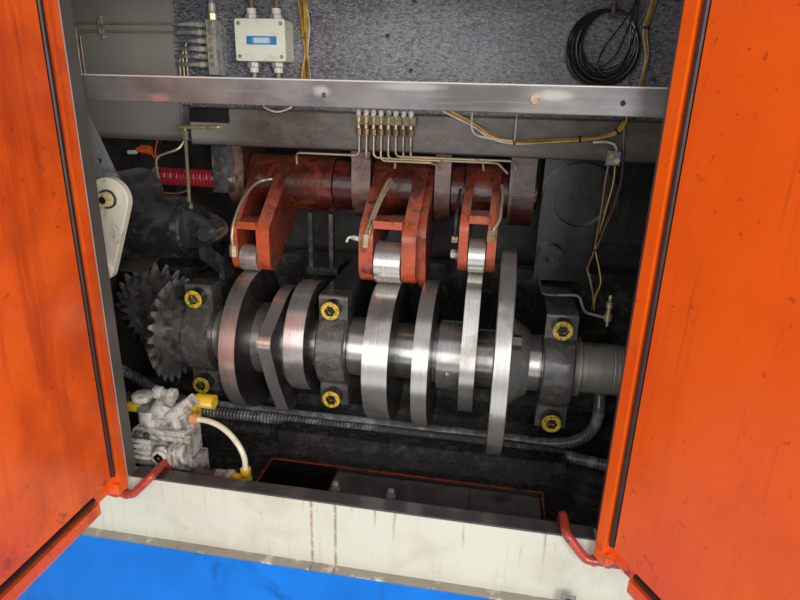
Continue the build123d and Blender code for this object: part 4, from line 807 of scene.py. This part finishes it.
def wiring(box_glands):
    """The wires in place of the round bars that stand for the bundles, with their ties."""
    rng = np.random.default_rng(4)
    w = Piece("wires", "machine", "cable_plastic", "wire", "brown", "pale", "coil")
    to_roof = [(-302, 435, 1775), (-292, 434, 1650), (-285, 432, 1588), (-286, 432, 1520), (-283, 433, 1458)]
    over_beam = [(356, 431, 1775), (343, 430, 1651), (336, 430, 1603), (346, 430, 1559), (341, 430, 1507),
                 (334, 424, 1478), (323, 396, 1464), (314, 366, 1459), (310, 358.5, 1446), (299, 358, 1432),
                 (272, 358, 1423), (239, 358, 1419), (180, 357.5, 1413), (126, 357.5, 1410), (85, 358, 1418),
                 (52, 358, 1437), (18, 361, 1452), (-6, 366, 1462)]
    branch = [(126, 357, 1414), (98, 357, 1419), (56, 357.5, 1437), (24, 361, 1452), (10, 366, 1462)]
    down_right = [(326, 421, 1775), (311, 424, 1645), (312, 424, 1590), (318, 428, 1520), (322, 420, 1478),
                  (318, 384, 1462), (310, 361, 1455), (315, 358.5, 1410), (320, 364, 1350), (314, 366, 1302),
                  (301, 366, 1258), (291, 365, 1217)]
    to_journal = [(293, 352, 1376), (292, 356, 1328), (292, 362, 1258), (290, 365, 1214), (283, 362, 1185),
                  (289, 356, 1165), (298, 349, 1131), (299, 346, 1108)]
    beside_it = [(304, 352, 1376), (306, 356, 1343), (300, 362, 1287), (292, 365, 1228), (302, 361, 1190),
                 (309, 355, 1158), (301, 349, 1131), (302, 344, 1108)]
    bundle(w, rng, to_roof, 9, ["wire", "brown", "wire", "pale", "wire", "brown", "wire"],
           1.9, 0.8, 0.6)
    bundle(w, rng, over_beam, 3.6, ["wire", "pale", "wire", "brown"], 1.8, 2)
    bundle(w, rng, branch, 1.9, ["wire", "brown"], 1.6, 1)
    bundle(w, rng, down_right, 1.6, ["coil", "brown"], 1.5, 1.6)
    bundle(w, rng, to_journal, 1.2, ["brown", "coil"], 1.5, 3)
    bundle(w, rng, beside_it, 1, ["wire", "coil"], 1.3, 2)
    pale = (((262, 357, 1415), (283, 353, 1416.5), (297, 350, 1413), (303, 349.5, 1403), (303, 349.5, 1398)),
            ((47, 364, 1464), (47, 357.5, 1444), (50, 357, 1427), (62, 356, 1418.5), (90, 355.5, 1414),
             (122, 355, 1412)),
            ((126, 366, 1464), (126, 358, 1448), (126, 354, 1430), (126, 352.5, 1412)),
            ((-353, 366, 1468), (-346, 358, 1456), (-322, 357, 1449), (-297, 358, 1456), (-289, 366, 1468)))
    for points, radius, sides in zip(pale, (2.4, 2.2, 1.4, 1.8), (8, 8, 6, 8)):
        w.bar(smooth(*points), radius, "pale", sides, lean=LEAN)
    for x in box_glands:
        w.bar(smooth((x, 417.5, 1632), (x + 1, 419, 1700), (x - 3, 424, 1776)), 3.6, "brown")
        w.bar(smooth((x, 417.5, 1532), (x, 418, 1500), (x + 2, 424, 1459)), 3.6, "pale")
    tie_half = 2
    for (x, y, z), (i, j, k), r in (
            ((-285, 432, 1585), (0, 0, 1), 6.4), ((126, 357.5, 1411), (1, 0, 0.05), 6),
            ((239, 358, 1419), (1, 0, 0.1), 6), ((300, 358, 1434), (0.8, 0, 0.6), 6),
            ((337, 430, 1607), (0.2, 0, 1), 6.2), ((291, 364, 1220), (0, 0, 1), 4.6)):
        i, j, k = tie_half * i, tie_half * j, tie_half * k
        w.stick((x - i, y - j, z - k), (x + i, y + j, z + k), r, "coil", 12, 0.7)
    w.make("cable_bundle")


def hank():
    """The spare cable: ovals x = a cos t, z = b sin t hung from the peg, with leads up to the right."""
    cable, ovals, peg_z, near_y, layers, gap = 1.5, 18, 1635.2, 420.5, 6, 3.1
    rng = np.random.default_rng(9)
    h = Piece("spare_cable", "machine", "coil_plastic", "coil")
    t = np.linspace(0, 2 * math.pi, 56, endpoint=False)
    for k in range(ovals):
        wide = 43 + 1.15 * k + rng.uniform(-2.2, 2.2)
        tall = 50 + 0.85 * k + rng.uniform(-2.6, 2.6)
        centre = 274 - 0.35 * k + rng.uniform(-2.5, 2.5)
        near = near_y + gap * (k % layers)
        lean = rng.uniform(-5, 5)
        loop = np.stack([centre + wide * np.cos(t) + lean * np.sin(t), near + 0.8 * np.sin(2 * t),
                         peg_z - tall + tall * np.sin(t)], 1)
        h.bar(MM * loop, cable, sides=7, closed=True)
    leads = (((340, 436, 1775), (322, 432, 1700), (312, 424, 1646), (290, 419, 1606), (268, 418, 1572),
              (262, 418, 1540), (280, 418, 1526)),
             ((314, 422, 1652), (306, 419, 1610), (292, 418, 1566), (272, 418, 1544), (250, 418.5, 1540)),
             ((316, 422, 1650), (318, 419, 1606), (308, 418, 1560), (296, 418, 1532)))
    for points in leads:
        h.bar(smooth(*points), cable, sides=7, lean=LEAN)
    h.make("cable_coil")


def fittings(box_glands):
    """Nuts, caps and clips on the wall, the beam and the bar: profiles turned round their own axes."""
    row_x, row_step, row_y = -161, 14, 353
    bar_x, bar_y, bar_middle = -474, 429, 1564
    f = Piece("fittings", "machine", "manifold_brass", "brass", "alloy", "rubber", "grey", "dark_brass")
    for k in range(8):
        x, y = row_x + row_step * k, row_y
        f.stick((x, y, 1412), (x, y, 1425), 5.6, "dark_brass")
        f.turned((x, y, 1425), (x, y, 1434), ((0, 3.6), (1, 3.6)), "brass")
        f.stick((x, y, 1434), (x, y, 1446), 5.8, "brass")
        f.turned((x, y, 1446), (x, y, 1458), ((0, 4.2), (0.3, 5.2), (0.8, 5.2), (1, 3.6)), "alloy")
    for up in (43, 28, 13, -2, -16, -31):
        y, z = bar_y, bar_middle + up
        f.stick((-484.5, y, z), (-494, y, z), 6.4, "brass")
        f.turned((-494, y, z), (-507, y, z), ((0, 4.8), (0.5, 4.8), (0.5, 5.6), (1, 5.6)), "alloy")
        f.turned((-507, y, z), (-560, y, z), ((0, 5), (0.2, 4.4), (0.8, 4.4), (1, 3.4)), "rubber")
        f.turned((bar_x, 417.5, z), (bar_x, 413, z), ((0, 4.6), (0.6, 4.6), (1, 3.4)), "brass")
    x, y = bar_x, bar_y
    f.stick((x, y, 1614), (x, y, 1627), 9.6, "brass")
    f.turned((x, y, 1627), (x, y, 1650), ((0, 6), (0.3, 7.4), (0.8, 7.4), (1, 4)), "alloy")
    f.bar(smooth((x, y, 1650), (-475, 430, 1700), (-480, 432, 1776)), 3.4, "alloy")
    for x in box_glands:
        f.stick((x, 417.5, 1615), (x, 417.5, 1624), 12.5, "alloy")
        f.stick((x, 417.5, 1539), (x, 417.5, 1529), 12.5, "alloy")
    f.plate(-719, -708, 424.5, 1586, 1614, 2.4, "alloy")
    for z in (1582, 1618):
        f.stick((-713.5, 440, z), (-713.5, 423, z), 4, "alloy")
    f.plate(287, 311, 357.5, 1377, 1403, 12, "grey", 2)
    f.stick((294, 346, 1393), (294, 341, 1393), 6.4, "brass")
    f.stick((305, 346, 1386), (305, 342, 1386), 5, "alloy", 10)
    f.make()


def thin_lines():
    """Oil and air lines bent over the front of the beam, down to the clevis and to the right journal."""
    p = Piece("thin_lines", "machine", "tube_metal", "tube", "brass", "grey")
    p.bar(piped(4, (-536, 359, 1413.5), (-444, 359, 1416.5), (-440, 366, 1418)), 3.4, "brass", 10)
    p.bar(piped(5, (-514, 359, 1413), (-513.5, 357, 1399), (-457.5, 249.5, 1277)), 3.1, "tube", 10,
          lean=(1, 0.2, 0.1))
    p.stick((-513.6, 357.5, 1407), (-510.5, 351.5, 1392), 6.4, "brass")
    p.stick((-460, 254.5, 1282.5), (-456.6, 247.8, 1275), 5.6, "brass")
    p.bar(smooth((-511, 352, 1392), (-523, 342, 1374), (-545, 334, 1365), (-560, 331, 1358),
                 (-565, 329, 1344), (-560, 326, 1300), (-556, 323, 1289)), 2.4, "tube", lean=LEAN)
    p.bar(smooth((-556, 323, 1289), (-520, 319, 1290), (-488, 302, 1300)), 1.8, "tube")
    p.bar(smooth((198, 470, 1131), (199, 420, 1137), (200, 330, 1143), (204, 303, 1145.5),
                 (228, 300, 1146.5), (256, 300, 1148.5), (266, 300, 1144), (272, 300, 1130),
                 (280, 300, 1118), (300, 300, 1113), (318, 300, 1110)), 2.4, "grey", lean=(0.3, -0.3, 1))
    nipple = ((0, 2), (0.04, 3.6), (0.12, 3.6), (0.12, 2.4), (0.2, 2.4), (0.22, 5.6), (0.42, 5.6),
              (0.45, 4), (0.6, 4), (0.6, 6.8), (0.82, 6.8), (0.84, 3), (1, 2.4))
    p.turned((319, 300, 1154), (320, 300, 1094), nipple, "brass")
    p.make()


def lever_lines():
    """Lubrication lines that ride on the levers: round bars along smooth lines, with their nuts."""
    p = Piece("lever_1_line", "lever_1", "tube_metal", "tube", "brass")
    p.bar(smooth((-388, 274, 1192), (-389, 273, 1222), (-387, 285, 1252), (-385, 320, 1283),
                 (-378, 372, 1309), (-352, 392, 1317), (-336, 394, 1312)), 3, "tube", 10, lean=(1, 0.2, 0.3))
    p.stick((-388, 273.5, 1182), (-388, 273.5, 1206), 7.4, "brass")
    p.stick((-388, 279, 1192), (-388, 268, 1192), 5.4, "brass", 10)
    p.make()
    p = Piece("lever_2_line", "lever_2", "tube_metal", "tube", "brass", "pale", "alloy")
    p.bar(smooth((-126, 262, 1236), (-124, 263, 1250), (-113, 294, 1293), (-102, 334, 1328),
                 (-98, 348, 1334)), 3.6, "tube", 10)
    p.bar(smooth((-118, 262, 1240), (-117, 264, 1256), (-107, 296, 1296), (-96, 334, 1326),
                 (-93, 344, 1330)), 2.2, "brass")
    p.stick((-127, 262.5, 1222), (-124.5, 261.5, 1248), 8.4, "brass")
    p.stick((-138, 272, 1233), (-153, 268, 1237), 4.6, "alloy", 8)
    p.bar(smooth((-151, 268, 1237), (-158, 266, 1236), (-162, 266, 1228)), 2.4, "pale")
    p.make()
    p = Piece("lever_3_line", "lever_3", "tube_metal", "tube", "brass", "alloy", "coil")
    p.bar(smooth((99, 268, 1258), (103, 267, 1268), (111, 276, 1284), (112, 292, 1300), (113, 318, 1318),
                 (110, 342, 1334)), 3, "tube", 10, lean=(1, 0.3, 0.2))
    p.stick((98, 269, 1246), (99, 268.5, 1266), 7.6, "brass")
    p.bar(smooth((36, 272, 1246), (35, 272, 1275), (36, 285, 1302), (37, 318, 1326)), 3.2, "coil", 10,
          lean=(1, 0.1, 0.1))
    p.stick((40, 274, 1244), (29, 272, 1244), 6.4, "brass")
    p.stick((44, 300, 1210), (27, 300, 1210), 8.6, "alloy")
    p.make()


def sensor_plug():
    """The plug by the spring, eased bars end to end, with its leads to the left wall."""
    p = Piece("sensor_plug", "machine", "cable_plastic", "signal", "pale", "coil")
    p.stick((-600, 371, 1366), (-622, 371, 1367), 9, "signal")
    p.stick((-622, 371, 1367), (-630, 371, 1366), 5.5, "signal", 8)
    p.stick((-632, 371, 1361.5), (-652, 371, 1360), 4.6, "pale", 8)
    p.bar(smooth((-628, 371, 1366), (-660, 372, 1366), (-700, 380, 1374), (-740, 400, 1386)), 1.8, "coil", 6)
    p.bar(smooth((-650, 371, 1360), (-690, 376, 1356), (-740, 396, 1376)), 1.6, "coil", 6)
    for dx, key in ((0, "signal"), (7, "coil")):
        p.bar(smooth((-592 + dx, 371, 1354), (-590 + dx, 372, 1370), (-586 + dx, 376, 1386)), 1.5, key, 6)
    p.bar(smooth((-600, 371, 1362), (-594, 371, 1352), (-588, 371, 1356)), 1.8, "signal", 6)
    p.make()


def earth_plate():
    """A square plate on the base's front, with the hexagon head of its screw."""
    x, face, z, half, thick = 261, -16, 758, 11, 2
    earth = Piece("earth_plate", "machine", "stay_steel", "grey", "screw")
    earth.plate(x - half, x + half, face, z - half, z + half, thick, "grey")
    earth.stick((x, face - thick, z), (x, face - 7, z), 5.5, "screw")
    earth.make()


def air_unit_details():
    """Plugs, ribs and rings on the body of the air unit, each a profile turned round its own axis."""
    knob = ((0, 8), (0.2, 9), (0.8, 9), (1, 7))
    dial = ((0, 17), (0.3, 17), (0.5, 14), (0.92, 14), (1, 12.5), (1, 8.5), (0.8, 7.5))
    flanges = ((0, 20), (0.1, 22), (0.22, 22), (0.24, 15), (0.42, 15), (0.44, 21), (0.58, 21), (0.6, 14),
               (0.8, 14), (0.82, 19), (1, 18))
    collar = ((0, 17), (0.35, 17), (0.4, 14), (0.62, 14), (0.66, 16.5), (0.95, 16.5), (1, 14))
    top_plug = ((0, 9), (0.06, 12), (0.35, 12), (0.4, 9), (0.7, 9), (0.74, 13), (0.95, 13), (1, 10))
    slanted = ((0, 14), (0.04, 17), (0.2, 17), (0.24, 14), (0.5, 14), (0.54, 19), (0.9, 19), (1, 15))
    u = Piece("air_unit_details", "machine", "valve_metal", "alloy", "screw", "grey")
    for z in (869, 880, 891, 902):
        u.stick((-500, 45.5, z), (-456, 45.5, z), 4, "alloy", 10)
    for x in (-496, -478, -460):
        u.turned((x, 44, 918), (x, 38, 918), ((0, 6), (0.5, 6), (1, 4)), "screw", 6)
    for start, end, profile, key, sides in (
            ((-438, 50, 878), (-438, 35, 878), dial, "alloy", 28),
            ((-438, 40, 878), (-438, 33.5, 878), ((0, 4), (0.8, 4), (1, 3)), "screw", 6),
            ((-424, 56, 876), (-396, 58, 880), flanges, "alloy", 24),
            ((-398, 60, 905), (-388, 62, 906), knob, "alloy", 6),
            ((-402, 60, 858), (-390, 62, 859), knob, "alloy", 6),
            ((-436, 88, 914), (-399, 88, 931), collar, "alloy", 24),
            ((-470, 92, 975), (-428, 92, 972), top_plug, "alloy", 20),
            ((-490, 86, 898), (-440, 86, 962), slanted, "alloy", 20),
            ((-472, 62, 975), (-472, 62, 988), ((0, 16), (0.2, 18), (0.8, 18), (1, 14)), "alloy", 20),
            ((-349, 66, 836), (-330, 66, 836), ((0, 12), (0.06, 13.5), (0.94, 13.5), (1, 12)), "grey", 6),
            ((-316, 66, 836), (-330, 66, 836), ((0, 12), (0.2, 14), (0.8, 14), (1, 12)), "alloy", 20),
            ((-420, 66, 836), (-414, 66, 836), ((0, 12), (0.2, 13.5), (0.8, 13.5), (1, 12)), "alloy", 20)):
        u.turned(start, end, profile, key, sides)
    u.make()


def pit_stud(name, x):
    """A stud on a trough plate: a hexagon profile turned round its upright axis."""
    stud = Piece(name, "machine", "screw_steel", "grey")
    stud.turned((x, 70, 828), (x, 70, 851), ((0, 9), (0.5, 9), (0.55, 6.5), (0.9, 6.5), (1, 5)), "grey", 6)
    stud.make()


BOX_GLANDS = (-388, -338)     # the cable entries over and under the junction box
seal("left_seal", "left_door", left_leaf_point)
seal("right_seal", "right_door", right_leaf_point)
wiring(BOX_GLANDS)
hank()
fittings(BOX_GLANDS)
thin_lines()
lever_lines()
sensor_plug()
earth_plate()
air_unit_details()
pit_stud("pit_stud_131", -131)
pit_stud("pit_stud_34", -34)


# Floor, lamps and camera
def floor():
    """One flat square, six metres out each way."""
    s = 6
    mesh = bpy.data.meshes.new("floor")
    mesh.from_pydata([(-s, -s, 0), (s, -s, 0), (s, s, 0), (-s, s, 0)], [], [(0, 1, 2, 3)])
    mesh.materials.append(Graph("pale_floor").shade((0.78, 0.78, 0.77), 0.6))
    shown("floor", mesh)


def lamp(name, place, target, size, power):
    """A soft rectangle of light that looks at its target."""
    data = bpy.data.lights.new(name, "AREA")
    data.shape = "RECTANGLE"
    data.size, data.size_y = size
    data.energy = power
    obj = shown(name, data)
    obj.location = place
    obj.rotation_euler = (Vector(target) - Vector(place)).to_track_quat("-Z", "Y").to_euler()


def world():
    """A pale even sky."""
    studio = bpy.data.worlds.new("studio")
    bpy.context.scene.world = studio
    studio.use_nodes = True
    color, strength = studio.node_tree.nodes["Background"].inputs[:2]
    color.default_value = (0.9, 0.93, 1, 1)
    strength.default_value = 0.6


def look_in(place, degrees, lens):
    """The camera that stands before the door opening, turned by three angles in degrees."""
    data = bpy.data.cameras.new("camera")
    data.sensor_width = 36
    data.lens = lens
    data.clip_start = 0.02
    camera = shown("camera", data)
    camera.location = place
    camera.rotation_euler = [math.radians(a) for a in degrees]
    bpy.context.scene.camera = camera


floor()
world()
lamp("key", (1.25, -2.15, 1.75), (-0.3, 0.35, 1.3), (1.5, 1.2), 46)
lamp("fill", (-0.6, -2.4, 1.6), (0, 0.3, 1.2), (1.5, 1.5), 15)
look_in((0.110, -0.760, 1.480), (71.0934, -1.491, 9.9106), 26.55)
bpy.context.scene.view_settings.view_transform = "Standard"
